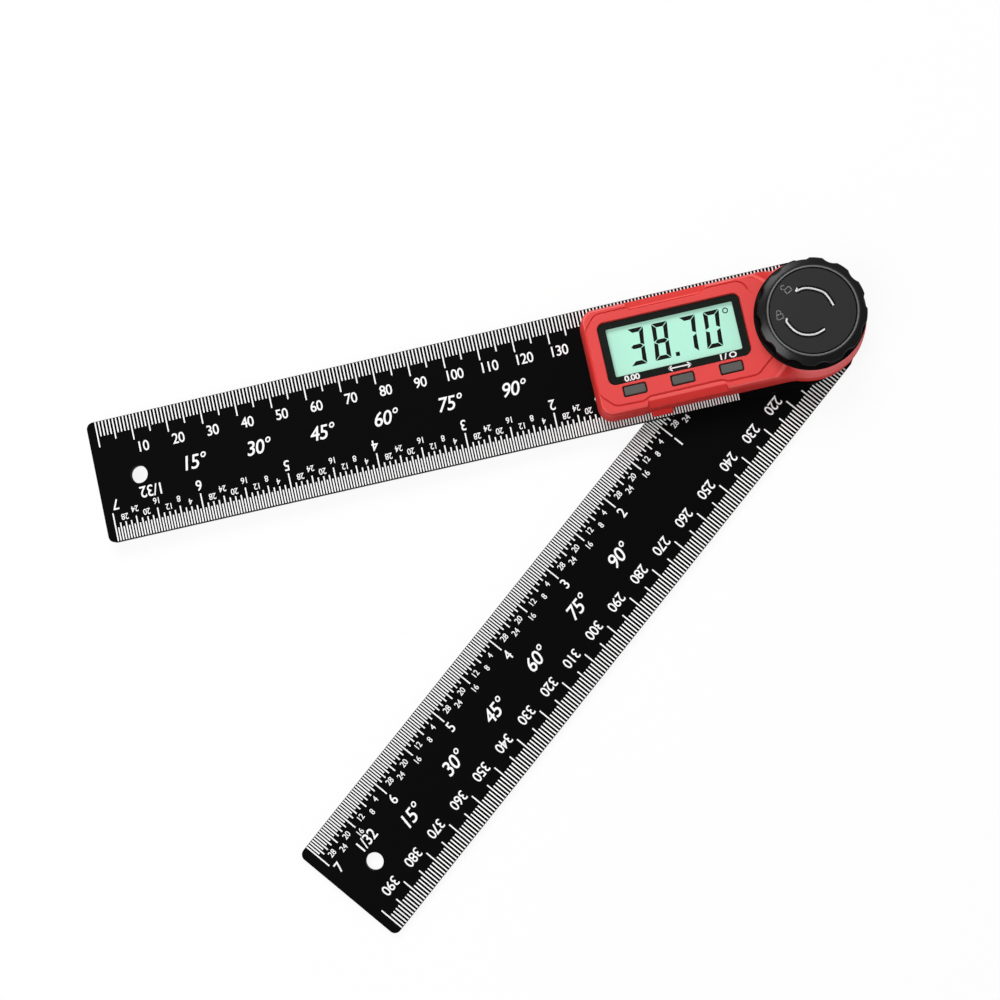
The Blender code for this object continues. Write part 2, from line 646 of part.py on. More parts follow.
def button_slab(x, grow, low, high, edge=0.0):
    """Round-cornered block on one button's place, larger all round by grow."""
    half_x, half_y = BUTTON_LENGTH / 2 + grow, BUTTON_WIDTH / 2 + grow
    left_low, right_high = (x - half_x, BUTTON_Y - half_y), (x + half_x, BUTTON_Y + half_y)
    return slab(left_low, right_high, SMALL_CORNER + grow / 2, low, high, edge)


def make_window(deck, clear):
    low = (WINDOW_FAR + RUN_GAP, WINDOW_LOW_SIDE + RUN_GAP)
    high = (WINDOW_NEAR - RUN_GAP, WINDOW_HIGH_SIDE - RUN_GAP)
    pane = slab(low, high, WINDOW_CORNER - RUN_GAP, WINDOW_LOW, WINDOW_TOP, WINDOW_EDGE)
    piece("window", pane, clear, deck)


def make_display(deck, glass, light, rubber):
    """Display glass over its back light, with an elastomer strip along each long edge."""
    (left, bottom), (right, top) = VIEW_LOW, VIEW_HIGH
    low, high = (left - GLASS_LAP, bottom - GLASS_LAP), (right + GLASS_LAP, top + GLASS_LAP)
    piece("display_glass", slab(low, high, SMALL_CORNER, GLASS_LOW, GLASS_TOP), glass, deck)
    panel = slab(
        (low[0] + LIGHT_INSET, low[1] + LIGHT_INSET), (high[0] - LIGHT_INSET, high[1] - LIGHT_INSET),
        SMALL_CORNER, LIGHT_LOW, LIGHT_TOP,
    )
    piece("back_light", panel, light, deck)
    strip_low, strip_high = BOARD_TOP + RUN_GAP, GLASS_LOW - RUN_GAP
    for name, side in (("lower", low[1]), ("upper", high[1] - STRIP_WIDTH)):
        ends = (low[0] + EDGE, side), (high[0] - EDGE, side + STRIP_WIDTH)
        piece(f"display_strip_{name}", slab(*ends, EDGE, strip_low, strip_high), rubber, deck)


def make_buttons(deck, material, steel):
    """Caps with a retaining flange and a stem, each over its switch dome."""
    dome_low = BOARD_TOP + RUN_GAP
    dome_top = dome_low + DOME_HEIGHT
    flange_top = ROOF_LOW - RUN_GAP
    flange_low = flange_top - BUTTON_FLANGE_THICKNESS
    stem_low = dome_top + BUTTON_TRAVEL + RUN_GAP
    for name, x in zip(BUTTON_NAMES, button_places()):
        top = HOUSING_TOP + BUTTON_PROUD
        cap = button_slab(x, 0, flange_top - EDGE / 2, top, EDGE)
        button = piece(f"button_{name}", cap, material, deck, (x, BUTTON_Y, flange_low))
        flange = button_slab(x, BUTTON_FLANGE, flange_low, flange_top)
        stem = cylinder(BUTTON_STEM, stem_low, flange_low + EDGE, (x, BUTTON_Y))
        combine(button, "UNION", flange, stem)
        profile = [
            (DOME_DIAMETER / 2 * radius, dome_low + DOME_HEIGHT * height)
            for radius, height in DOME_shares
        ]
        dome = turned(profile, SMALL_STEPS, (x, BUTTON_Y))
        piece(f"switch_dome_{name}", dome, steel, deck, (x, BUTTON_Y, dome_low))


def make_board(deck, laminate, epoxy, steel):
    """Main board with the encoder's fixed half round its hole, its chip and its two screws."""
    inset = INNER_INSET + BOARD_GAP
    turn = -HUB_RADIUS * mix(TOP_TURN_share, FOOT_TURN_share, WALL_LEVEL_shares[2][2])
    low, high = (-(HOUSING_REACH - inset), -(HOUSING_HALF - inset)), (turn, HOUSING_HALF - inset)
    board = piece("main_board", slab(low, high, BOARD_CORNER, BOARD_LOW, BOARD_TOP), laminate, deck)
    under, over = BOARD_LOW - OVERRUN, BOARD_TOP + OVERRUN
    hub = 2 * (HUB_ROOM - BOARD_GAP)
    combine(board, "UNION", cylinder(hub, BOARD_LOW, BOARD_TOP, steps=ROUND_STEPS))
    combine(board, "DIFFERENCE", cylinder(ROTOR_SLEEVE, under, over))
    for place in PILLARS:
        combine(board, "DIFFERENCE", cylinder(PILLAR_DIAMETER + 2 * BOARD_GAP, under, over, place))
    head_low = BOARD_LOW - RUN_GAP - BOARD_SCREW_HEAD_HEIGHT
    shank, tip = BOARD_SCREW_DIAMETER / 2, board_screw_tip()
    profile = (
        (BOARD_SCREW_HEAD / 2, head_low), (BOARD_SCREW_HEAD / 2, BOARD_LOW - RUN_GAP),
        (shank, BOARD_LOW - RUN_GAP), (shank, tip - shank), (shank * SCREW_TIP_share, tip),
    )
    for number, place in enumerate(BOARD_SCREWS, 1):
        hole = cylinder(BOARD_SCREW_DIAMETER + 2 * RUN_GAP, under, over, place)
        combine(board, "DIFFERENCE", hole)
        screw = turned(profile, SMALL_STEPS, place)
        piece(f"board_screw_{number}", screw, steel, deck, (*place, head_low))
    chip_x = mix(low[0], TRAY_X - TRAY_HALF, CHIP_share)
    chip_y = PILLARS[1][1] * CHIP_SIDE_share
    half, chip_top = CHIP_SIDE / 2, BOARD_LOW - RUN_GAP
    corners = (chip_x - half, chip_y - half), (chip_x + half, chip_y + half)
    levels = ((chip_top - CHIP_HEIGHT, CHIP_EDGE / 2), (chip_top - CHIP_EDGE, 0), (chip_top, 0))
    chip = loft([at_height(round_box(*corners, CHIP_EDGE, inset), z) for z, inset in levels])
    piece("controller_chip", chip, epoxy, deck)


def make_tray(deck, material, steel, brass):
    """Battery tray that slides out along -Y with its coin cell, and the two contacts over it."""
    origin = (TRAY_X, TRAY_FACE, RUN_GAP)
    radius = CELL_DIAMETER / 2
    back = CELL_Y + radius - TRAY_OPEN
    low, high = (TRAY_X - TRAY_HALF, TRAY_FACE), (TRAY_X + TRAY_HALF, back)
    tray = piece("battery_tray", slab(low, high, EDGE, RUN_GAP, TRAY_TOP), material, deck, origin)
    lip_left = TRAY_X - TRAY_HALF + LIP_INSET
    lip = slab(
        (lip_left, TRAY_FACE - LIP_PROUD), (lip_left + LIP_LENGTH, TRAY_FACE + TRAY_FRONT), LIP_CORNER,
        RUN_GAP, RUN_GAP + LIP_THICKNESS, EDGE,
    )
    centre = (TRAY_X, CELL_Y)
    pocket_low, pocket_size = RUN_GAP + TRAY_FLOOR, CELL_DIAMETER + 2 * RUN_GAP
    pocket = cylinder(pocket_size, pocket_low, TRAY_TOP + OVERRUN, centre, INNER_STEPS)
    combine(tray, "UNION", lip)
    combine(tray, "DIFFERENCE", pocket, cylinder(TRAY_PORT, -OVERRUN, TRAY_TOP, centre))

    profile = (
        (radius - EDGE, CELL_LOW), (radius, CELL_LOW + EDGE), (radius, CELL_TOP - CELL_CAP),
        (radius - CELL_STEP, CELL_TOP - CELL_CAP / 2), (radius - CELL_STEP, CELL_TOP),
    )
    cell = turned(profile, INNER_STEPS, centre)
    piece("coin_cell", cell, steel, deck, (*centre, CELL_LOW))

    foot = BOARD_LOW - RUN_GAP - LEAF / 2
    touch = CELL_TOP + RUN_GAP + LEAF / 2
    side_y = CELL_Y + radius + RUN_GAP + LEAF / 2
    leaves = {
        "battery_contact_positive": (
            (side_y, CELL_LOW + EDGE), (side_y, foot), (side_y - LEAF_FOOT, foot),
        ),
        "battery_contact_negative": (
            (CELL_Y, touch + LEAF / 2), (CELL_Y + LEAF, touch), (CELL_Y + LEAF_FOOT, touch),
            (CELL_Y + LEAF_FOOT + LEAF, foot), (CELL_Y + 2 * LEAF_FOOT, foot),
        ),
    }
    for name, path in leaves.items():
        leaf = strip(path, LEAF_WIDTH)
        bmesh.ops.translate(leaf, verts=leaf.verts, vec=(TRAY_X, 0, 0))
        piece(name, leaf, brass, deck)


def fluted_circle(radius, depth):
    """Round outline with FLUTES hollows, each a shallow arc of FLUTE_RADIUS."""
    points = []
    pitch = math.tau / FLUTES
    far = radius + FLUTE_RADIUS - depth
    reach = FLUTE_RADIUS - FLUTE_DEPTH + KNOB_CREST_RADIUS
    half = math.acos(
        (KNOB_CREST_RADIUS ** 2 + reach ** 2 - FLUTE_RADIUS ** 2) / (2 * KNOB_CREST_RADIUS * reach)
    )
    for flute in range(FLUTES):
        middle = FLUTE_PHASE + flute * pitch
        for share in (-1, -0.5, 0, 0.5, 1):
            angle = half * share
            across = math.sqrt(FLUTE_RADIUS ** 2 - (far * math.sin(angle)) ** 2)
            length = min(radius, far * math.cos(angle) - across)
            points.append((length * math.cos(middle + angle), length * math.sin(middle + angle)))
        for share in (1 / 3, 2 / 3):
            angle = middle + mix(half, pitch - half, share)
            points.append((radius * math.cos(angle), radius * math.sin(angle)))
    return points


def make_knob(axis, plastic, cap_material, brass, nylon):
    """Fluted shell with a boss for its threaded insert, a round cap and the washer beneath."""
    slope = KNOB_CREST_RADIUS - KNOB_RIM
    flange = KNOB_HEIGHT * KNOB_FLANGE_share
    rings = [
        at_height(fluted_circle(KNOB_FLANGE_RADIUS - EDGE, 0), 0),
        at_height(fluted_circle(KNOB_FLANGE_RADIUS, 0), EDGE),
        at_height(fluted_circle(KNOB_FLANGE_RADIUS, 0), flange),
    ]
    for inward, height, depth in KNOB_LEVEL_shares:
        outline = fluted_circle(KNOB_CREST_RADIUS - slope * inward, FLUTE_DEPTH * depth)
        rings.append(at_height(outline, KNOB_HEIGHT * height))
    knob = piece("knob", loft(rings), plastic, axis)
    recess = KNOB_RIM - slope * (KNOB_LEVEL_shares[-1][0] - 1) - KNOB_RIM_WIDTH
    inner = KNOB_CREST_RADIUS - FLUTE_DEPTH - KNOB_WALL
    boss = KNOB_BOSS / 2
    insert = THREAD_DIAMETER / 2 + RUN_GAP + INSERT_WALL
    combine(
        knob,
        "DIFFERENCE",
        cylinder(2 * recess, KNOB_FLOOR, KNOB_HEIGHT + OVERRUN, steps=ROUND_STEPS),
        ring(boss, inner, -OVERRUN, KNOB_FLOOR - KNOB_ROOF),
        cylinder(2 * boss + OVERRUN, -2 * OVERRUN, BOSS_LOW, steps=ROUND_STEPS),
        cylinder(2 * (insert + RUN_GAP), -OVERRUN, INSERT_TOP + RUN_GAP),
    )
    cap, cap_low, cap_top = recess - RUN_GAP, KNOB_FLOOR + SEAT_GAP, KNOB_HEIGHT - CAP_SINK
    profile = ((cap, cap_low), (cap, cap_top - WINDOW_EDGE), (cap - WINDOW_EDGE, cap_top))
    piece("knob_cap", turned(profile), cap_material, axis)
    bore, washer_top = THREAD_DIAMETER / 2 + RUN_GAP, WASHER_LOW + KNOB_WASHER_THICKNESS
    piece("knob_insert", ring(bore, insert, BOSS_LOW + RUN_GAP, INSERT_TOP, SMALL_STEPS), brass, axis)
    washer = ring(bore, KNOB_WASHER_DIAMETER / 2, WASHER_LOW, washer_top, INNER_STEPS)
    piece("knob_washer", washer, nylon, axis)


def main():
    for obj in list(bpy.data.objects):
        bpy.data.objects.remove(obj, do_unlink=True)

    black_arm = finish("arm_black", (0.012, 0.012, 0.013), 0.42)
    red = finish("housing_red", (0.75, 0.075, 0.06), 0.38)
    black = finish("knob_black", (0.018, 0.018, 0.018), 0.4)
    charcoal = finish("cap_charcoal", (0.03, 0.029, 0.029), 0.5)
    key_grey = finish("button_grey", (0.09, 0.09, 0.08), 0.55)
    clear = finish("window_clear", (0.02, 0.03, 0.02), 0.1, alpha=0.35)
    glass = finish("display_mint", (0.45, 0.87, 0.68), 0.3)
    light = finish("light_white", (0.8, 0.9, 0.85), 0.5)
    rubber = finish("rubber_grey", (0.25, 0.25, 0.25), 0.8)
    laminate = finish("board_green", (0.02, 0.16, 0.06), 0.45)
    epoxy = finish("epoxy_black", (0.01, 0.01, 0.01), 0.3)
    nylon = finish("nylon_white", (0.8, 0.8, 0.77), 0.5)
    steel = finish("steel", (0.62, 0.62, 0.64), 0.3, 1)
    brass = finish("brass", (0.78, 0.6, 0.3), 0.3, 1)

    root = frame_at("upper_group")
    deck = frame_at("deck", root, (0, 0, DECK))
    lower = frame_at("lower_group", root, turn=ARM_ANGLE)
    knob_axis = frame_at("knob_group", lower, (0, 0, DECK + KNOB_BASE), -ARM_ANGLE)

    make_upper_arm(root, black_arm, brass, steel)
    make_lower_arm(lower, black_arm, steel, nylon)
    make_rotor(lower, key_grey, laminate, steel)
    make_housing(deck, red)
    make_window(deck, clear)
    make_display(deck, glass, light, rubber)
    make_buttons(deck, key_grey, steel)
    make_board(deck, laminate, epoxy, steel)
    make_tray(deck, red, steel, brass)
    make_knob(knob_axis, black, charcoal, brass, nylon)


main()
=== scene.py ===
"""Looks of an angle finder with two ruler arms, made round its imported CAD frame.

Metres, in the frame of the CAD: Z is the pivot axis, the upper arm runs along -X with its printed
face at DECK, and the lower arm lies under it, opened by ARM_ANGLE.
"""

import math
from collections import namedtuple

import bmesh
import bpy
from bpy.props import (
    FloatProperty,
    FloatVectorProperty,
    IntProperty,
    PointerProperty,
    StringProperty,
)
from bpy.types import Operator, Panel, PropertyGroup
from mathutils import Matrix, Vector


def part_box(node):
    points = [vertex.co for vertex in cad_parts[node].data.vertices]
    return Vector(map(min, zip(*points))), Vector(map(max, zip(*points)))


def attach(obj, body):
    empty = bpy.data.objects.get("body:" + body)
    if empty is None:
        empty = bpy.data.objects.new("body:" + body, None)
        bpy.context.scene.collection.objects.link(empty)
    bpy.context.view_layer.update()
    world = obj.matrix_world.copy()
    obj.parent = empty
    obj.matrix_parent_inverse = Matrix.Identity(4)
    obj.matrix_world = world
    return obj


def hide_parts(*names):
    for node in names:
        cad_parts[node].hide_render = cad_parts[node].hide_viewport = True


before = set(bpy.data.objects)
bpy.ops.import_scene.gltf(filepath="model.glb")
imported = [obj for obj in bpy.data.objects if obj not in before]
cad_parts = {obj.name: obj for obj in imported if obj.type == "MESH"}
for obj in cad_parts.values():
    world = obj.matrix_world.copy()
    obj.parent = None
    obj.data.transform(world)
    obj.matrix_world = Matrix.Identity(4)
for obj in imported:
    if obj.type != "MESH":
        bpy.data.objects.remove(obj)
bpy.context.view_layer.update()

bl_info = {
    "name": "Angle finder looks",
    "version": (1, 0, 0),
    "blender": (4, 5, 0),
    "location": "View3D > Sidebar > Angle finder",
    "description": "Dresses the packed angle finder in detailed pieces and finishes",
    "category": "Object",
}

MM = 0.001
INCH = 25.4
SHARP_ANGLE = math.radians(32)
# How far a cutter reaches past what it cuts, then the gaps at a seat and round what is let in
OVERRUN, SEAT_GAP, RUN_GAP = 1 * MM, 0.2 * MM, 0.15 * MM

ARM_ANGLE = math.radians(38.7)
ARM_LOW, ARM_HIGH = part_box("upper_arm")
DECK = ARM_HIGH.z
ARM_THICKNESS = ARM_HIGH.z - ARM_LOW.z
ARM_HALF = ARM_HIGH.y
ARM_REACH = -ARM_LOW.x
# How much further the arms reach here than in the CAD
FAR_MARGIN = 1.3 * MM
LOWER_TURN = Matrix.Rotation(ARM_ANGLE, 4, "Z")
UPRIGHT = Matrix.Identity(4)
ARM_FACES = {
    "upper_arm": Matrix.Translation((0, 0, DECK)),
    "lower_arm": LOWER_TURN @ Matrix.Translation((0, 0, ARM_THICKNESS)),
}

HOUSING_LOW, HOUSING_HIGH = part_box("housing")
PANEL_TOP = HOUSING_HIGH.z
SHOULDER = PANEL_TOP - 0.25 * MM
HOUSING_REACH = -HOUSING_LOW.x
HOUSING_HALF = 15.4 * MM
HUB_RADIUS = HOUSING_HIGH.x
WINDOW_LOW, WINDOW_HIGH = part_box("window")
GLASS_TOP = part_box("display_glass")[1].z
# Underside of the shell over the works
ROOF = GLASS_TOP + SEAT_GAP
KNOB_LOW, KNOB_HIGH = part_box("knob")
CAP_LOW, CAP_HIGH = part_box("knob_cap")
FLOOR = -0.02 * MM
BUTTONS = ("button_zero", "button_hold", "button_power")
SCREWS = tuple(f"housing_screw_{number}" for number in range(1, 5))
SHANK_HOLE = 1.25 * MM


def mix(a, b, share):
    return a + (b - a) * share


def sign(operation, swapped=False):
    """Method that adds a Math node for one of Python's signs."""

    def method(self, other):
        return self.nodes.maths(operation, *((other, self) if swapped else (self, other)))

    return method


class Wire:
    """One output of a node tree, on which Python's own signs add Math nodes."""

    def __init__(self, nodes, socket):
        self.nodes, self.socket = nodes, socket

    def __getitem__(self, name):
        """Another output of the same node."""
        return Wire(self.nodes, self.socket.node.outputs[name])

    def maths(self, operation, *others):
        return self.nodes.maths(operation, self, *others)

    __add__ = sign("ADD")
    __sub__, __rsub__ = sign("SUBTRACT"), sign("SUBTRACT", True)
    __mul__ = sign("MULTIPLY")
    __truediv__, __rtruediv__ = sign("DIVIDE"), sign("DIVIDE", True)
    __mod__ = sign("FLOORED_MODULO")
    __pow__ = sign("POWER")
    __lt__, __gt__ = sign("LESS_THAN"), sign("GREATER_THAN")

    def __abs__(self):
        return self.maths("ABSOLUTE")


class Nodes:
    """Adds nodes to one shader or geometry tree."""

    def __init__(self, tree):
        self.tree = tree

    def add(self, kind, values=None, **settings):
        """New node from its type, values or wires for its inputs, and its settings."""
        node = self.tree.nodes.new(kind)
        for name, value in settings.items():
            setattr(node, name, value)
        for key, value in (values or {}).items():
            if isinstance(key, str):
                socket = next(s for s in node.inputs if s.enabled and s.name == key)
            else:
                socket = node.inputs[key]
            if isinstance(value, Wire):
                self.tree.links.new(value.socket, socket)
            else:
                socket.default_value = value
        shown = [s for s in node.outputs if s.enabled]
        return Wire(self, shown[0]) if shown else node

    def maths(self, operation, *values):
        return self.add("ShaderNodeMath", dict(enumerate(values)), operation=operation)

    def split(self, vector):
        """Wires of a vector's X, Y and Z."""
        parts = self.add("ShaderNodeSeparateXYZ", {0: vector})
        return parts["X"], parts["Y"], parts["Z"]

    def vector(self, **parts):
        return self.add("ShaderNodeCombineXYZ", parts)

    def blend(self, share, a, b):
        """Colour between a and b."""
        values = {"Factor": share, "A": a, "B": b}
        return self.add("ShaderNodeMix", values, data_type="RGBA", clamp_factor=True)

    def step(self, value, low, high):
        """0 below low, 1 above high, eased between."""
        values = {"Value": value, "From Min": low, "From Max": high}
        return self.add("ShaderNodeMapRange", values, interpolation_type="SMOOTHSTEP")

    def noise(self, place, size, detail=2.0):
        values = {"Vector": place, "Scale": 1 / size, "Detail": detail}
        return self.add("ShaderNodeTexNoise", values)

    def bump(self, height, distance):
        return self.add("ShaderNodeBump", {"Height": height, "Distance": distance})


def rgba(colour, factor=1.0):
    return (*(min(1, channel * factor) for channel in colour[:3]), 1)


def new_surface(name):
    """Material with an empty tree, and the wires of its Object coordinates."""
    material = bpy.data.materials.new(f"{name}_finish")
    material.use_nodes = True
    material.node_tree.nodes.clear()
    nodes = Nodes(material.node_tree)
    return material, nodes, nodes.add("ShaderNodeTexCoord")["Object"]


def shaded(material, nodes, values):
    """Material closed with a Principled shader of these values."""
    shader = nodes.add("ShaderNodeBsdfPrincipled", values)
    nodes.add("ShaderNodeOutputMaterial", {"Surface": shader})
    return material


def moulded(name, colour, roughness, grain=0.25, relief=0.012, tone=0.1, specular=0.5):
    """Moulded or coated surface: fine grain in relief and gloss, slow drift in tone. In mm."""
    material, nodes, place = new_surface(name)
    fine = nodes.noise(place, grain * MM, 3)
    broad = nodes.noise(place, 14 * MM)
    return shaded(material, nodes, {
        "Base Color": nodes.blend(broad, rgba(colour, 1 - tone), rgba(colour, 1 + tone)),
        "Roughness": (fine - 0.5) * 0.16 + (broad - 0.5) * 0.08 + roughness,
        "Specular IOR Level": specular,
        "Normal": nodes.bump(fine, relief * MM),
    })


def from_axis(nodes, place):
    """Distance from the upright axis, and height."""
    x, y, z = nodes.split(place)
    return (x * x + y * y) ** 0.5, z


def machined(name, colour, roughness):
    """Turned metal: fine rings of tool marks round the upright axis."""
    material, nodes, place = new_surface(name)
    radius, _ = from_axis(nodes, place)
    values = {"W": radius, "Scale": 1 / (0.12 * MM)}
    marks = nodes.add("ShaderNodeTexNoise", values, noise_dimensions="1D")
    stain = nodes.noise(place, 6 * MM)
    return shaded(material, nodes, {
        "Base Color": nodes.blend(stain, rgba(colour, 0.9), rgba(colour, 1.05)),
        "Metallic": 1.0,
        "Roughness": marks * 0.18 + stain * 0.08 + (roughness - 0.13),
        "Normal": nodes.bump(marks, 0.004 * MM),
    })


def arc(centre, radius, start, end, steps):
    """Points along an arc, both ends included."""
    return [
        (centre[0] + radius * math.cos(a), centre[1] + radius * math.sin(a))
        for a in (mix(start, end, i / steps) for i in range(steps + 1))
    ]


def circle(radius, steps=96, centre=(0, 0)):
    return arc(centre, radius, 0, math.tau * (steps - 1) / steps, steps - 1)


def round_box(low, high, corner, inset=0.0, steps=8):
    """Anticlockwise outline of a rectangle with round corners, drawn in by inset."""
    radius = max(corner - inset, 0.01 * MM)
    reach = radius + inset
    left, right = low[0] + reach, high[0] - reach
    bottom, top = low[1] + reach, high[1] - reach
    centres = ((right, top), (left, top), (left, bottom), (right, bottom))
    return [
        point
        for turn, centre in enumerate(centres)
        for point in arc(centre, radius, turn * math.pi / 2, (turn + 1) * math.pi / 2, steps)
    ]


def at_height(outline, height):
    return [(x, y, height) for x, y in outline]


def loft(rings, ring_closed=False):
    """Closed skin through rings of equal count, lowest first, each anticlockwise from above."""
    bm = bmesh.new()
    loops = [[bm.verts.new(point) for point in ring] for ring in rings]
    pairs = list(zip(loops, loops[1:]))
    if ring_closed:
        pairs.append((loops[-1], loops[0]))
    else:
        bm.faces.new(reversed(loops[0]))
        bm.faces.new(loops[-1])
    for lower, upper in pairs:
        for i, corner in enumerate(lower):
            j = (i + 1) % len(lower)
            bm.faces.new((corner, lower[j], upper[j], upper[i]))
    return bm


def outward(bm):
    bmesh.ops.recalc_face_normals(bm, faces=bm.faces)
    return bm


# Distance from the end and inset along a quarter round, as shares of its radius
QUARTER = [(1 - math.sin(a), 1 - math.cos(a)) for a in (math.pi / 8 * i for i in range(5))]


def straight(low, high):
    """Heights and insets of an upright side."""
    return [(low, 0), (high, 0)]


def eased(low, high, radius, bottom=True):
    """Heights and insets of a block's side from low to high, with quarter-round edges."""
    foot = [(low + radius * up, radius * inset) for up, inset in reversed(QUARTER)]
    head = [(high - radius * up, radius * inset) for up, inset in QUARTER]
    return (foot if bottom else [(low, 0)]) + head


def mouth(low, top, radius):
    """Heights and insets of a cutter whose mouth at top rounds the edge that it leaves."""
    head = [(top - radius * up, -radius * inset) for up, inset in QUARTER]
    return [(low, 0), *head, (top + OVERRUN, -radius)]


def block(low, high, corner, levels):
    return loft([at_height(round_box(low, high, corner, inset), z) for z, inset in levels])


def disc(radius, levels, centre=(0, 0), steps=96):
    return loft([at_height(circle(radius - inset, steps, centre), z) for z, inset in levels])


def spline(points, count):
    """Smooth run of count steps between each two points, through them all."""
    run = []
    points = [Vector(p) for p in points]
    for i, (a, b) in enumerate(zip(points, points[1:])):
        before = points[max(i - 1, 0)]
        after = points[min(i + 2, len(points) - 1)]
        for step in range(count):
            t = step / count
            run.append(
                0.5 * (2 * a + (b - before) * t + (2 * before - 5 * a + 4 * b - after) * t * t
                       + (3 * a - before - 3 * b + after) * t * t * t)
            )
    return run + [points[-1]]


def middle(node):
    """Centre of a CAD node's box, seen from above."""
    low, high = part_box(node)
    return (low.x + high.x) / 2, (low.y + high.y) / 2


def holder(name, mesh):
    obj = bpy.data.objects.new(name, mesh)
    bpy.context.scene.collection.objects.link(obj)
    return obj


def mesh_from(bm, name="part"):
    """Mesh of a bmesh, which is freed."""
    mesh = bpy.data.meshes.new(name)
    bm.to_mesh(mesh)
    bm.free()
    return mesh


def bmesh_from(*meshes):
    """One bmesh of meshes, which are removed."""
    bm = bmesh.new()
    for mesh in meshes:
        bm.from_mesh(mesh)
        bpy.data.meshes.remove(mesh)
    return bm


def joined(*parts):
    return bmesh_from(*[mesh_from(bm) for bm in parts])


def baked(obj):
    """Plain mesh of an object with its modifiers, which is then removed."""
    graph = bpy.context.evaluated_depsgraph_get()
    mesh = bpy.data.meshes.new_from_object(obj.evaluated_get(graph), depsgraph=graph)
    bpy.data.objects.remove(obj, do_unlink=True)
    return mesh


def cut(*cutters):
    """Boolean steps that take cutters away."""
    return [("DIFFERENCE", cutter) for cutter in cutters]


def carved(bm, steps):
    """Solid after its Boolean steps, each an operation and a cutter, as a bmesh."""
    base = holder("carved", mesh_from(bm))
    guides = []
    for operation, cutter in steps:
        guides.append(holder("cutter", mesh_from(cutter)))
        guides[-1].hide_render = True
        change = base.modifiers.new(operation, "BOOLEAN")
        change.operation, change.solver, change.object = operation, "EXACT", guides[-1]
    bm = bmesh_from(baked(base))
    for guide in guides:
        bpy.data.objects.remove(guide, do_unlink=True)
    bmesh.ops.remove_doubles(bm, verts=bm.verts, dist=0.001 * MM)
    bmesh.ops.dissolve_degenerate(bm, edges=bm.edges, dist=0.001 * MM)
    stray = [f for f in bm.faces if all(len(e.link_faces) == 1 for e in f.edges)]
    bmesh.ops.delete(bm, geom=stray, context="FACES")
    return bm


def piece(name, bm, look, body, nodes=(), place=UPRIGHT, soft=True):
    """Finished piece in its place, riding on a body, with the record's slot that it belongs to."""
    bm.transform(place)
    mesh = mesh_from(bm, name)
    if soft:
        mesh.shade_smooth()
        mesh.set_sharp_from_angle(angle=SHARP_ANGLE)
        obj = holder(name, mesh)
        weigh = obj.modifiers.new("weigh", "WEIGHTED_NORMAL")
        weigh.keep_sharp = True
        mesh = baked(obj)
        mesh.name = name
    mesh.materials.clear()
    mesh.materials.append(finish(look))
    obj = holder(name, mesh)
    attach(obj, body)
    if nodes:
        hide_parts(*nodes)


def dressed(node, edge):
    """Merged copy of a CAD node's mesh with its hard edges rounded."""
    bm = bmesh.new()
    bm.from_mesh(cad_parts[node].data)
    bmesh.ops.remove_doubles(bm, verts=bm.verts, dist=0.002 * MM)
    bmesh.ops.dissolve_limit(bm, angle_limit=math.radians(1), verts=bm.verts, edges=bm.edges)
    hard = [e for e in bm.edges if e.is_manifold and e.calc_face_angle(0) > math.radians(40)]
    bmesh.ops.bevel(
        bm, geom=hard, offset=edge, segments=2, profile=0.5, affect="EDGES", clamp_overlap=True
    )
    return bm


GLYPHS = {}


def glyphs(text, bold, slant):
    """Letters one unit high and thick, standing on y = 0 and centred on x, as a mesh."""
    key = (text, bold, slant)
    if key not in GLYPHS:
        curve = bpy.data.curves.new("lettering", "FONT")
        curve.body, curve.offset, curve.shear = text, bold, slant
        curve.extrude, curve.resolution_u, curve.space_character = 0.5, 3, 0.93
        bm = bmesh_from(baked(holder("lettering", curve)))
        bpy.data.curves.remove(curve)
        bmesh.ops.remove_doubles(bm, verts=bm.verts, dist=1e-5)
        GLYPHS[key] = mesh_from(outward(bm))
    return GLYPHS[key]


def lettering(words, thickness, bold, slant, narrow):
    """Raised print from (text, height, x, y, turn) rows, standing on z = 0."""
    zero = [v.co.y for v in glyphs("0", bold, slant).vertices]
    foot, tall = min(zero), max(zero) - min(zero)
    meshes = []
    for text, height, x, y, turn in words:
        mesh = glyphs(text, bold, slant).copy()
        across = [v.co.x for v in mesh.vertices]
        size = height / tall
        place = Matrix.Translation((x, y, thickness / 2)) @ Matrix.Rotation(turn, 4, "Z")
        place @= Matrix.Diagonal((size * narrow, size, thickness, 1))
        place @= Matrix.Translation((-(min(across) + max(across)) / 2, -foot - tall / 2, 0))
        mesh.transform(place)
        meshes.append(mesh)
    return bmesh_from(*meshes)


def plate_of(outline, thickness):
    """Thin closed plate of print from a flat outline, standing on z = 0."""
    return outward(loft([at_height(outline, 0), at_height(outline, thickness)]))


def stroke(points, width, thickness):
    """Flat line of print along points."""
    sides = ([], [])
    points = [Vector(p) for p in points]
    for i, here in enumerate(points):
        way = (points[min(i + 1, len(points) - 1)] - points[max(i - 1, 0)]).normalized()
        normal = Vector((-way.y, way.x)) * width / 2
        sides[0].append(tuple(here + normal))
        sides[1].append(tuple(here - normal))
    return plate_of(sides[1] + sides[0][::-1], thickness)


def new_tree(name, whole, sizes):
    """Nodes and input wires of a geometry tree with whole numbers and sizes as named inputs."""
    tree = bpy.data.node_groups.new(name, "GeometryNodeTree")
    inputs = [("Geometry", "Geometry"), *((label, "Int") for label in whole)]
    inputs += [*((label, "Float") for label in sizes), ("Material", "Material")]
    for label, kind in inputs:
        tree.interface.new_socket(label, in_out="INPUT", socket_type=f"NodeSocket{kind}")
    tree.interface.new_socket("Geometry", in_out="OUTPUT", socket_type="NodeSocketGeometry")
    nodes = Nodes(tree)
    return nodes, nodes.add("NodeGroupInput")


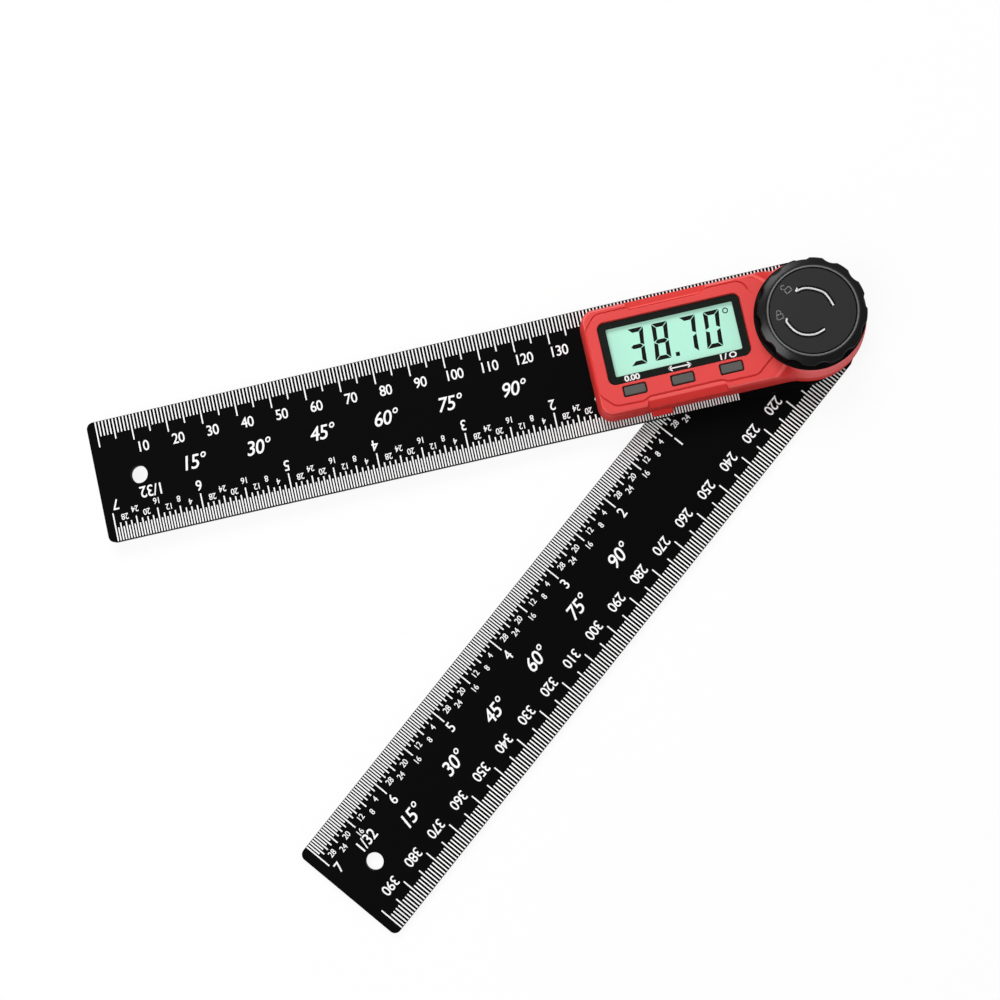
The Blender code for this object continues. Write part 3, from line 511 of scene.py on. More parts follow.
def closed_tree(nodes, given, geometry):
    """The tree, ended with realised, painted geometry."""
    real = nodes.add("GeometryNodeRealizeInstances", {"Geometry": geometry})
    values = {"Geometry": real, "Material": given["Material"]}
    nodes.add("NodeGroupOutput", {"Geometry": nodes.add("GeometryNodeSetMaterial", values)})
    return nodes.tree


def grown(tree, base, look, **sizes):
    """Bmesh that a geometry tree makes from a base mesh and its named sizes."""
    obj = holder("grown", base)
    growth = obj.modifiers.new("growth", "NODES")
    growth.node_group = tree
    labels = {name.replace("_", " "): value for name, value in sizes.items()}
    labels["Material"] = finish(look)
    for item in tree.interface.items_tree:
        if item.in_out == "INPUT" and item.name in labels:
            growth[item.identifier] = labels[item.name]
    return bmesh_from(baked(obj))


TICK_LEVELS = 4


def tick_tree():
    """Row of graduation lines: every so many lines is longer, at up to four levels."""
    levels = range(1, TICK_LEVELS + 1)
    nodes, given = new_tree(
        "Graduation lines", ["Count", *(f"Step {i}" for i in levels)],
        ["Pitch", "Width", "Thickness", "Length", *(f"Length {i}" for i in levels)],
    )
    values = {"Count": given["Count"], "Offset": nodes.vector(X=given["Pitch"])}
    line = nodes.add("GeometryNodeMeshLine", values, mode="OFFSET")
    number = nodes.add("GeometryNodeInputIndex")
    reach = given["Length"]
    for i in levels:
        longer = number % given[f"Step {i}"] < 0.5
        values = {"Switch": longer, "False": reach, "True": given[f"Length {i}"]}
        reach = nodes.add("GeometryNodeSwitch", values, input_type="FLOAT")
    bar = nodes.add("GeometryNodeMeshCube", {"Size": (1, 1, 1)})
    bar = nodes.add("GeometryNodeTransform", {"Geometry": bar, "Translation": (0, 0.5, 0.5)})
    size = nodes.vector(X=given["Width"], Y=reach, Z=given["Thickness"])
    values = {"Points": line, "Instance": bar, "Scale": size}
    return closed_tree(nodes, given, nodes.add("GeometryNodeInstanceOnPoints", values))


def flute_tree():
    """Hollows cut into a turned shell.

    Each vertex carries crest, the radius that its hollow starts from, or 0 where there is none, and
    rise, how much higher it comes to lie for each length that the hollow moves it inwards.
    """
    sizes = ["Depth", "Flute radius", "Phase", "Ease"]
    nodes, given = new_tree("Fluted wall", ["Flutes"], sizes)
    x, y, z = nodes.split(nodes.add("GeometryNodeInputPosition"))
    radius = (x * x + y * y) ** 0.5
    pitch = math.tau / given["Flutes"]
    beside = abs((y.maths("ARCTAN2", x) - given["Phase"] + pitch * 0.5) % pitch - pitch * 0.5)
    crest, rise = (
        nodes.add("GeometryNodeInputNamedAttribute", {"Name": name}, data_type="FLOAT")
        for name in ("crest", "rise")
    )
    far = crest + given["Flute radius"] - given["Depth"]
    across = far * beside.maths("SINE")
    reach = given["Flute radius"] * given["Flute radius"] - across * across
    hollow = far * beside.maths("COSINE") - reach.maths("MAXIMUM", 0) ** 0.5
    # Past the hollow's sides its wall is put a metre out, where it cuts nothing
    hollow = hollow + (reach < 0)
    inwards = (radius - radius.maths("SMOOTH_MIN", hollow, given["Ease"])) * (crest > 0)
    change = 1 - inwards / radius
    moved = nodes.vector(X=x * change, Y=y * change, Z=z + inwards * rise)
    values = {"Geometry": given["Geometry"], "Position": moved}
    return closed_tree(nodes, given, nodes.add("GeometryNodeSetPosition", values))


def bead_tree():
    """Half-sunk round bead along every chain of edges of the given mesh."""
    nodes, given = new_tree("Raised bead", [], ["Bead"])
    path = nodes.add("GeometryNodeMeshToCurve", {0: given["Geometry"]})
    values = {"Resolution": 12, "Radius": given["Bead"] * 0.5}
    section = nodes.add("GeometryNodeCurvePrimitiveCircle", values)
    values = {"Curve": path, "Profile Curve": section, "Fill Caps": True}
    return closed_tree(nodes, given, nodes.add("GeometryNodeCurveToMesh", values))


def screw_tree():
    """Countersunk screw with a cross recess on every point of the given mesh, head downwards."""
    sizes = ["Head", "Head height", "Shank", "Length", "Recess", "Recess width", "Recess depth"]
    nodes, given = new_tree("Cross-recess screws", [], sizes)

    def boolean(operation, first, *others):
        change = nodes.add(
            "GeometryNodeMeshBoolean", first, operation=operation, solver="EXACT"
        )
        for other in others:
            nodes.tree.links.new(other.socket, change.socket.node.inputs[1])
        return change

    head, shank = given["Head"] * 0.5, given["Shank"] * 0.5
    tall, long = given["Head height"], given["Length"]
    cone = nodes.add("GeometryNodeMeshCone", {
        "Vertices": 40, "Radius Top": shank, "Radius Bottom": head, "Depth": tall,
    })
    rod = nodes.add("GeometryNodeMeshCylinder", {"Vertices": 40, "Radius": shank, "Depth": long})
    values = {"Geometry": rod, "Translation": nodes.vector(Z=(long + tall) * 0.5)}
    body = boolean("UNION", {1: cone}, nodes.add("GeometryNodeTransform", values))
    bars = []
    for along, wide in (("X", "Y"), ("Y", "X")):
        parts = {along: given["Recess"], wide: given["Recess width"]}
        size = nodes.vector(Z=given["Recess depth"] * 2, **parts)
        bars.append(nodes.add("GeometryNodeMeshCube", {"Size": size}))
    values = {"Points": given["Geometry"], "Instance": boolean("DIFFERENCE", {0: body}, *bars)}
    return closed_tree(nodes, given, nodes.add("GeometryNodeInstanceOnPoints", values))


def length(name, description, default):
    return FloatProperty(
        name=name, description=description, default=default * MM, min=0, unit="LENGTH", precision=5
    )


def angle(name, description, default):
    return FloatProperty(
        name=name, description=description, default=math.radians(default), subtype="ANGLE"
    )


def colour(name, description, default):
    return FloatVectorProperty(
        name=name, description=description, default=default, min=0, max=1, subtype="COLOR"
    )


def amount(name, description, default, low=0.0, unit="NONE"):
    return FloatProperty(
        name=name, description=description, default=default, min=low, unit=unit
    )


class AngleFinderArms(PropertyGroup):
    edge: length("Edge", "Radius of the arms' long edges", 0.15)
    print_thickness: length("Print", "How far the printing stands on the arms", 0.02)
    tick_width: length("Tick width", "Width of a graduation line", 0.38)
    number: length("Number", "Height of the main numbers", 3)
    small_number: length("Small number", "Height of the numbers between the inches", 1.75)
    row_number: length("Row number", "Height of the angles in the middle row", 4.1)
    black: colour("Arm colour", "Coating of both arms", (0.0014, 0.0014, 0.0016))
    white: colour("Print colour", "Ink of lines and numbers", (0.93, 0.93, 0.93))


class AngleFinderHousing(PropertyGroup):
    edge: length("Edge", "Radius of the panel's and openings' edges", 0.18)
    red: colour("Housing colour", "Moulded shell and battery tray", (0.74, 0.06, 0.056))
    border: colour("Border colour", "Print behind the window's edge", (0.008, 0.011, 0.009))
    mint: colour("Display colour", "Lit face of the display", (0.38, 0.72, 0.57))
    button: colour("Button colour", "Rubber of the three buttons", (0.07, 0.07, 0.064))
    reading: StringProperty(name="Reading", description="Digits on the display", default="38.70")
    digit_height: length("Digit height", "Height of the display's digits", 10.2)
    digit_width: length("Digit width", "Width of the display's digits", 4.42)
    segment: length("Segment", "Thickness of a level segment", 1.15)
    upright: length("Upright", "Thickness of an upright segment", 1.22)
    slant: angle("Slant", "Lean of the digits", 5.5)
    label: length("Label", "Height of the marks over the buttons", 1.7)


class AngleFinderKnob(PropertyGroup):
    flutes: IntProperty(name="Flutes", description="Hollows round the knob", default=12, min=3)
    depth: length("Flute depth", "Depth of each hollow", 0.7)
    flute_radius: length("Flute radius", "Radius of each hollow", 3.9)
    phase: angle("Phase", "Angle of the first hollow", -2)
    bead: length("Mark", "Width of the raised marks on the cap", 0.52)
    black: colour("Knob colour", "Fluted shell", (0.004, 0.004, 0.0042))
    rim: colour("Rim colour", "Narrow rim round the cap", (0.15, 0.15, 0.15))
    charcoal: colour("Cap colour", "Round cap in the knob", (0.014, 0.0135, 0.0135))


class AngleFinderStage(PropertyGroup):
    floor: amount("Floor", "Side of the floor", 30, 1, "LENGTH")
    lens: amount("Lens", "Focal length", 59.4, 10, "CAMERA")
    key: amount("Key light", "Power of the soft light above the far ends", 6)
    back: amount("Back light", "Power of the soft light behind", 7)
    sky: amount("Sky", "Strength of the light from all round", 0.3)


def make_mint():
    """Back-lit display glass: a pale face, a little darker towards its edges."""
    face = bpy.context.scene.finder_housing.mint
    low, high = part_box("display_glass")
    material, nodes, place = new_surface("display_mint")
    x, y, _ = nodes.split(place)
    centre_x, centre_y = middle("display_glass")
    off_x = abs(x - centre_x) / (high.x - centre_x)
    off_y = abs(y - centre_y) / (high.y - centre_y)
    rim = nodes.step(off_x.maths("MAXIMUM", off_y), 0.6, 1.05)
    haze = nodes.noise(place, 9 * MM)
    shade = nodes.blend(rim * 0.5 + haze * 0.15, rgba(face), rgba(face, 0.86))
    return shaded(material, nodes, {
        "Base Color": shade,
        "Roughness": haze * 0.1 + 0.3,
        "Emission Color": shade,
        "Emission Strength": 0.45,
    })


def make_housing_red():
    """Moulded red, satin on top and matt on the walls, with painted shade deepening the walls, a
    painted highlight along the shoulder's edges and a paler painted highlight on the hub's wall.
    """
    red = bpy.context.scene.finder_housing.red
    material, nodes, place = new_surface("housing_red")
    x, _, height = nodes.split(place)

    def above(low, high):
        """0 below low and 1 above high, in mm from the shoulder."""
        return nodes.step(height, SHOULDER + low * MM, SHOULDER + high * MM)

    def tint(*factors):
        return rgba([channel * factor for channel, factor in zip(red, factors)])

    # Painted shade: the walls below the shoulder take a darker, deeper red than the top
    painted_wall_shade = 1 - above(-0.6, -0.02)
    # Painted highlight: the hub's wall is paler and pinker than the rest
    hub = nodes.step(x, -10 * MM, -2 * MM) * painted_wall_shade * above(-8, -5)
    # Painted highlight: a pale band just below the shoulder's edge, on the walls, grips and hub
    painted_edge_highlight = above(-0.6, -0.35) * (1 - above(-0.05, 0))
    fine = nodes.noise(place, 0.22 * MM, 3)
    shade = nodes.blend(nodes.noise(place, 14 * MM), rgba(red, 0.95), rgba(red, 1.05))
    shade = nodes.blend(painted_wall_shade, shade, tint(0.9, 0.5, 0.45))
    shade = nodes.blend(hub * 0.75, shade, tint(1.28, 2.8, 3))
    return shaded(material, nodes, {
        "Base Color": nodes.blend(painted_edge_highlight * 0.85, shade, tint(1.3, 2.2, 2.2)),
        "Roughness": (fine - 0.5) * 0.16 + (1 - above(-3, -0.3)) * 0.4 + 0.36,
        "Normal": nodes.bump(fine, 0.008 * MM),
        "Specular IOR Level": 0.25,
    })


def make_knob_black():
    """Black shell, glossier on its slope, whose narrow rim round the cap is pale grey."""
    knob = bpy.context.scene.finder_knob
    material, nodes, place = new_surface("knob_black")
    radius, height = from_axis(nodes, place)
    rim = nodes.step(radius, 11.8 * MM, 11.88 * MM)
    rim = rim * (1 - nodes.step(radius, 12.2 * MM, 12.32 * MM))
    rim = rim * nodes.step(height, KNOB_HIGH.z - 0.35 * MM, KNOB_HIGH.z - 0.2 * MM)
    slope = nodes.step(height, KNOB_LOW.z + 4.9 * MM, KNOB_LOW.z + 5.3 * MM)
    fine = nodes.noise(place, 0.3 * MM, 3)
    broad = nodes.noise(place, 14 * MM)
    return shaded(material, nodes, {
        "Base Color": nodes.blend(rim, rgba(knob.black), rgba(knob.rim)),
        "Roughness": (fine - 0.5) * 0.1 + (broad - 0.5) * 0.05 + rim * 0.2 + 0.22,
        "Normal": nodes.bump(fine, 0.005 * MM),
        "Specular IOR Level": 0.0,
        "Coat Weight": slope * 0.5 + 0.06,
        "Coat Roughness": 0.26,
    })


def make_pane():
    """Clear pane with a faint smoky tint."""
    material, nodes, place = new_surface("window_clear")
    haze = nodes.noise(place, 12 * MM)
    return shaded(material, nodes, {
        "Base Color": nodes.blend(haze, (0.02, 0.025, 0.022, 1), (0.03, 0.036, 0.032, 1)),
        "Roughness": haze * 0.04 + 0.06,
        "Alpha": 0.05,
        "Specular IOR Level": 0.12,
    })


def make_plain(name):
    """Moulded finish from its colour, roughness, grain, relief, tone and specular level."""
    scene = bpy.context.scene
    arms, housing, knob = scene.finder_arms, scene.finder_housing, scene.finder_knob
    return moulded(name, *{
        "arm_black": (arms.black, 0.6, 0.3, 0.008, 0.15, 0.03),
        "print_white": (arms.white, 0.55, 0.15, 0.004, 0.03),
        "border_black": (housing.border, 0.25, 0.4, 0.003, 0.1, 0.1),
        "segment_black": ((0.002, 0.003, 0.003), 0.4, 0.3, 0.002, 0.1, 0.1),
        "button_rubber": (housing.button, 0.6, 0.18, 0.01, 0.08),
        "cap_charcoal": (knob.charcoal, 0.5, 0.2, 0.012, 0.05, 0.25),
        # Painted highlight: the raised arcs are pale grey for the glint on their glossy black
        # relief
        "mark_painted_highlight": ((0.75, 0.75, 0.75), 0.16, 0.3, 0.003, 0.05, 0.9),
        # Painted highlight: the padlocks are a little paler than the cap for the faint sheen on
        # their raised relief
        "mark_faint_highlight": ((0.11, 0.11, 0.11), 0.18, 0.3, 0.003, 0.05, 0.8),
        "light_white": ((0.8, 0.9, 0.85), 0.5, 0.25, 0.012, 0.03),
        "rubber_grey": ((0.2, 0.2, 0.2), 0.8, 0.25, 0.02),
        "board_green": ((0.02, 0.16, 0.06), 0.42, 0.25, 0.012, 0.2),
        "epoxy_black": ((0.01, 0.01, 0.01), 0.32, 0.25, 0.015),
        "nylon_white": ((0.8, 0.8, 0.77), 0.5, 0.25, 0.012, 0.03),
    }[name])


METALS = {"steel": ((0.62, 0.62, 0.64), 0.32), "brass": ((0.78, 0.6, 0.3), 0.3)}
SPECIAL = {
    "housing_red": make_housing_red, "knob_black": make_knob_black,
    "display_mint": make_mint, "window_clear": make_pane,
}
FINISHES = {}


def finish(name):
    """The object's material of that name, made on first use."""
    if name not in FINISHES:
        if name in SPECIAL:
            FINISHES[name] = SPECIAL[name]()
        elif name in METALS:
            FINISHES[name] = machined(name, *METALS[name])
        else:
            FINISHES[name] = make_plain(name)
    return FINISHES[name]


class Step:
    """One step of the dressing, which a button of the panel runs."""

    def execute(self, context):
        self.make(context.scene)
        return {"FINISHED"}


ARM_CORNER, ARM_DRAWN = 1.9 * MM, 0.9 * MM
HANG_HOLE, HANG_HOLE_INSET = 2.5 * MM, 10.7 * MM
BUSH_HOLE = 5.35 * MM
BOLT_SEAT, KEY_HALF, KEY_CORNER = 1.15 * MM, 5.15 * MM, 0.4 * MM
# Heights over the arm's underside between which its screw holes narrow
COUNTERSINK = (0.5 * MM, 1.35 * MM)


def arm_outline(inset):
    """Ruler from above: round far corners, and a pivot end drawn in from the long sides."""
    side, turn, quarter = ARM_HALF - ARM_CORNER, ARM_CORNER - inset, math.pi / 2
    far = ARM_CORNER - ARM_REACH - FAR_MARGIN
    sweep = math.radians(80)
    points = arc((far, -side), turn, 2 * quarter, 3 * quarter, 10)
    points.append((-ARM_DRAWN, inset - ARM_HALF))
    points += arc((0, 0), ARM_HALF - ARM_DRAWN - inset, -sweep, sweep, 72)
    points.append((-ARM_DRAWN, ARM_HALF - inset))
    return points + arc((far, side), turn, quarter, 2 * quarter, 10)


def arm_plate(low, edge, *cutters):
    """Ruler with fine round edges and its hang hole, its other openings made by cutters."""
    top = low + ARM_THICKNESS
    plate = loft([at_height(arm_outline(inset), z) for z, inset in eased(low, top, edge)])
    levels = [(low - OVERRUN, -edge), *mouth(low + edge, top, edge)]
    hole = disc(HANG_HOLE, levels, (HANG_HOLE_INSET - ARM_REACH, 0), 48)
    return carved(plate, cut(hole, *cutters))


class FINDER_OT_arms(Step, Operator):
    """Make both ruler arms with fine edges, hang holes and pivot seats"""

    bl_idname = "finder.arms"
    bl_label = "Arms"

    def make(self, scene):
        edge = scene.finder_arms.edge
        low = DECK - ARM_THICKNESS
        cutters = [disc(BUSH_HOLE, straight(low - OVERRUN, DECK + OVERRUN))]
        for name in SCREWS:
            a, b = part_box(name)
            head = (b.x - a.x) / 2 + RUN_GAP
            wide, narrow = (low + height for height in COUNTERSINK)
            levels = [*straight(low - OVERRUN, wide), (narrow, head - SHANK_HOLE),
                      (DECK + OVERRUN, head - SHANK_HOLE)]
            cutters.append(disc(head, levels, middle(name), 48))
        piece("upper_arm_plate", arm_plate(low, edge, *cutters), "arm_black", "upper_arm",
              ("upper_arm",))
        bolt, (slip_low, slip_high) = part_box("pivot_bolt")[1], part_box("slip_washer")
        slip_seat = straight(slip_low.z - RUN_GAP, ARM_THICKNESS + OVERRUN)
        cutters = [
            disc(bolt.x + RUN_GAP, straight(-OVERRUN, BOLT_SEAT)),
            disc(slip_high.x + RUN_GAP, slip_seat),
            block((-KEY_HALF,) * 2, (KEY_HALF,) * 2, KEY_CORNER, straight(0, ARM_THICKNESS)),
        ]
        piece("lower_arm_plate", arm_plate(0, edge, *cutters), "arm_black", "lower_arm",
              ("lower_arm",), LOWER_TURN)


Scale = namedtuple("Scale", "arm first count pitch side short levels")
# In mm: the arm, x of the first line, count, pitch, side of the arm and length of the lines, then
# step and length of each longer level
SCALES = {
    "upper_scale_metric": Scale("upper_arm", -200.3, 198, 1, 1, 4.27, ((5, 5.87), (10, 7.27))),
    "upper_scale_inch": Scale("upper_arm", -200.4, 225, INCH / 32, -1, 3.77,
                              ((2, 4.97), (8, 5.87), (16, 6.77), (32, 7.97))),
    "lower_scale_inch": Scale("lower_arm", -199.85, 225, INCH / 32, 1, 3.97,
                              ((2, 5.07), (8, 5.97), (16, 7.17), (32, 8.17))),
    "lower_scale_metric": Scale("lower_arm", -200.1, 198, 1, -1, 4.57,
                                ((5, 6.07), (10, 7.47), (198, 7.27))),
}


class FINDER_OT_scales(Step, Operator):
    """Print the graduation lines along the arms' four edges"""

    bl_idname = "finder.scales"
    bl_label = "Scales"

    def make(self, scene):
        arms = scene.finder_arms
        tree = tick_tree()
        for name, scale in SCALES.items():
            sizes = {
                "Count": scale.count, "Pitch": -scale.side * scale.pitch * MM,
                "Width": arms.tick_width, "Thickness": arms.print_thickness,
                "Length": scale.short * MM,
            }
            spare = scale.levels[-1:] * (TICK_LEVELS - len(scale.levels))
            for level, (step, reach) in enumerate(scale.levels + spare, 1):
                sizes[f"Step_{level}"] = step
                sizes[f"Length_{level}"] = reach * MM
            lines = grown(tree, bpy.data.meshes.new("base"), "print_white", **sizes)
            shift = (scale.first * MM, scale.side * (ARM_HALF - arms.edge), 0)
            turn = Matrix.Rotation(0 if scale.side < 0 else math.pi, 4, "Z")
            place = ARM_FACES[scale.arm] @ Matrix.Translation(shift) @ turn
            piece(name, lines, "print_white", scale.arm, (), place, soft=False)


METRIC_ROW, INCH_ROW, LAST_INCH = 7.6, 6.95, 7
# Distance from the arm's middle of each number of thirty-seconds between the inches
PART_ROWS = {4: 10.8, 8: 9.3, 12: 10.8, 16: 8.4, 20: 10.8, 24: 9.3, 28: 10.8}
NUMBER_BOLD = 0.008


def metric_numbers(scale, height, values, zero, lean, turn):
    """Numbers of a metric scale that reads zero at its far end, as rows for lettering."""
    return [
        (str(value), height, (scale.first + abs(value - zero) + lean) * MM,
         scale.side * METRIC_ROW * MM, turn)
        for value in values
    ]


def inch_numbers(scale, tall, small, least, lean, turn, drop=0.0):
    """Numbers of an inch scale down to least, with thirty-seconds between, as lettering's rows."""
    starts = {inch: scale.first + (LAST_INCH - inch) * INCH for inch in range(LAST_INCH, -1, -1)}
    rows = []
    for inch in range(LAST_INCH, least - 1, -1):
        x = starts[inch] + (lean if inch == LAST_INCH else 0)
        rows.append((str(inch), tall, x * MM, scale.side * (INCH_ROW - drop) * MM, turn))
    for inch in range(LAST_INCH - 1, -1, -1):
        for part, y in PART_ROWS.items():
            x = starts[inch] - part * INCH / 32
            if x < starts[least] + INCH:
                rows.append((str(part), small, x * MM, scale.side * (y - drop) * MM, turn))
    return rows


class FINDER_OT_numbers(Step, Operator):
    """Print the numbers of the four scales and the row of angles along each arm"""

    bl_idname = "finder.numbers"
    bl_label = "Numbers"

    def make(self, scene):
        arms = scene.finder_arms
        tall, small, flip = arms.number, arms.small_number, math.pi
        upper = [
            *metric_numbers(SCALES["upper_scale_metric"], tall, range(10, 140, 10), 0, 2.4, 0),
            *inch_numbers(SCALES["upper_scale_inch"], tall, small, 2, 1.2, flip),
            ("1/32", 1.1 * tall, -188.6 * MM, -5.2 * MM, flip),
        ]
        lower = [
            *metric_numbers(
                SCALES["lower_scale_metric"], tall, range(390, 210, -10), 400, -3.3, flip
            ),
            *inch_numbers(SCALES["lower_scale_inch"], tall, small, 1, 1.5, 0, 0.2),
            ("1/32", 1.1 * tall, -187.6 * MM, 5.4 * MM, 0),
        ]
        angles = [
            (f"{value}°", arms.row_number, (-174.5 + 18.4 * i) * MM, 0, 0)
            for i, value in enumerate((15, 30, 45, 60, 75, 90))
        ]
        for name, arm, rows, slant, narrow in (
            ("upper_numbers", "upper_arm", upper, 0, 0.92),
            ("lower_numbers", "lower_arm", lower, 0, 0.92),
            ("upper_angle_row", "upper_arm", angles, 0.2, 0.95),
            ("lower_angle_row", "lower_arm", angles, 0.2, 0.95),
        ):
            print_out = lettering(rows, arms.print_thickness, NUMBER_BOLD, slant, narrow)
            place = ARM_FACES[arm]
            piece(name, print_out, "print_white", arm, (), place, soft=False)


WALL, BEVEL = 1.3 * MM, 1.25 * MM
TURN_STEPS = 24
HOUSING_CORNER = 4.2 * MM
# Height, inset and flare of the outer wall, as shares of its height, of BEVEL and of 1
WALL_LEVELS = ((0, 0, 1), (0.42, 0.14, 0.9), (0.79, 0.28, 0.7), (0.91, 0.56, 0.35), (1, 1, 0))
# Radius and height of the hub, as shares of HUB_RADIUS and of the wall's height
HUB_LEVELS = ((1, 0), (0.975, 0.4), (0.955, 0.65), (0.925, 0.82), (0.895, 0.93), (0.85, 1))
# Corners of the raised panel, as shares of HOUSING_REACH and HOUSING_HALF
PANEL = (
    (0.98, -0.563), (0.922, -0.802), (0.795, -0.821), (0.769, -0.763), (0.439, -0.758),
    (0.413, -0.812), (0.277, -0.812), (0.237, -0.672), (0.163, -0.455), (0.163, 0.455),
    (0.24, 0.677), (0.249, 0.774), (0.264, 0.842), (0.287, 0.876), (0.418, 0.876),
    (0.449, 0.805), (0.769, 0.805), (0.783, 0.856), (0.926, 0.852), (0.98, 0.611),
)
# The groove round the panel ends before the hub on its far side
GROOVE, GROOVE_END = 0.42 * MM, -14.4 * MM
GRIP_WIDTH, GRIP_DEPTH, GRIP_SLANT, GRIP_CROWN = 3.25 * MM, 2.8 * MM, 1.2 * MM, 0.5 * MM
GRIP_ENDS = ((0.795, 1), (0.411, -1))
# Shallow line on each side where the housing's shoulder meets the hub, in mm
SEAMS = (
    ((-9.6, -11.8), (-13.75, -14.3)),
    ((-10.4, 11.9), (-11.4, 12.75), (-12.8, 13.65), (-14.2, 14.1), (-15.7, 14.2), (-18.1, 14.0)),
)
BOSS, BOSS_HOLE_TOP = 2.4 * MM, 5.4 * MM
SPINDLE_HOLE = 2.8 * MM
BUTTON_GAP = 0.36 * MM


def wall_outline(inset, flare):
    """One level of the housing: far corners, long sides, and each side's turn into the hub."""
    half, radius = HOUSING_HALF - inset, HOUSING_CORNER - inset
    far = -(HOUSING_REACH - HOUSING_CORNER)
    lower = arc((far, -half + radius), radius, math.pi, math.pi * 3 / 2, 12)
    turn_x = -HUB_RADIUS * mix(0.77, 0.51, flare)
    hub = HUB_RADIUS - inset
    ends = [
        (share * hub * math.cos(turn), -share * hub * math.sin(turn))
        for share, turn in ((0.7, math.radians(130)), (0.97, math.radians(100.5)))
    ]
    join_x, join_y = (mix(top, foot, flare) for top, foot in zip(*ends))
    for i in range(TURN_STEPS + 1):
        share = i / TURN_STEPS
        ease = mix(share, share * share * (3 - 2 * share), flare)
        lower.append((mix(turn_x, join_x, share), mix(-half, join_y, ease)))
    return lower + [(x, -y) for x, y in reversed(lower)]


def wall_rings(inset, top, count):
    """Levels of the wall drawn in by inset, from the deck to top, count between each two."""
    return [
        at_height(wall_outline(inset + BEVEL * depth, flare), mix(DECK, top, height))
        for height, depth, flare in spline(WALL_LEVELS, count)
    ]


def rounded(corners, radius, steps=4):
    """Outline of straight runs whose corners are rounded as far as their runs allow."""
    points = []
    corners = [Vector(c) for c in corners]
    for i, here in enumerate(corners):
        ways = [corners[i - 1] - here, corners[(i + 1) % len(corners)] - here]
        reach = min(radius, *(way.length * 0.4 for way in ways))
        a, b = (here + way.normalized() * reach for way in ways)
        for t in (step / steps for step in range(steps + 1)):
            points.append(tuple((1 - t) ** 2 * a + 2 * t * (1 - t) * here + t * t * b))
    return points


def shrunk(outline, inset):
    """Closed outline moved inwards by inset along its corners' bisectors."""
    moved = []
    count = len(outline)
    for i in range(count):
        before, here, after = (Vector(outline[(i + k) % count]) for k in (-1, 0, 1))
        a, b = (here - before).normalized(), (after - here).normalized()
        normal = (Vector((-a.y, a.x)) + Vector((-b.y, b.x))).normalized()
        moved.append(tuple(here + normal * inset))
    return moved


def grip_cutter(side):
    """Wedge that bevels one long side, with a slight crown, where the fingers hold it."""
    inner, outer = HOUSING_HALF - GRIP_WIDTH, HOUSING_HALF + OVERRUN
    low, over = SHOULDER - GRIP_DEPTH / GRIP_WIDTH * (outer - inner), SHOULDER + OVERRUN
    section = [(inner, over), (outer, over)]
    for share in (i / 8 for i in range(9)):
        crown = GRIP_CROWN * 4 * share * (1 - share)
        section.append((mix(outer, inner, share), mix(low, SHOULDER, share) + crown))
    return outward(loft([
        [(way * GRIP_SLANT * (outer - y) / (outer - inner) - HOUSING_REACH * share, side * y, z)
         for y, z in section]
        for share, way in GRIP_ENDS
    ]))


def view_area(grow=0.0):
    """Opposite corners of the display's visible face."""
    return (
        (WINDOW_LOW.x + 2.15 * MM - grow, WINDOW_LOW.y + 2.05 * MM - grow),
        (WINDOW_HIGH.x - 2.15 * MM + grow, WINDOW_HIGH.y - 1.9 * MM + grow),
    )


def grown_box(low, high, gap):
    """Opposite corners, seen from above, of a box that is larger by gap on each side."""
    return (low.x - gap, low.y - gap), (high.x + gap, high.y + gap)


def button_face(name):
    """Corners of a button's cap, without its retaining flange."""
    low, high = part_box(name)
    flange = Vector((0.6 * MM, 0.6 * MM, 0))
    return low + flange, high - flange


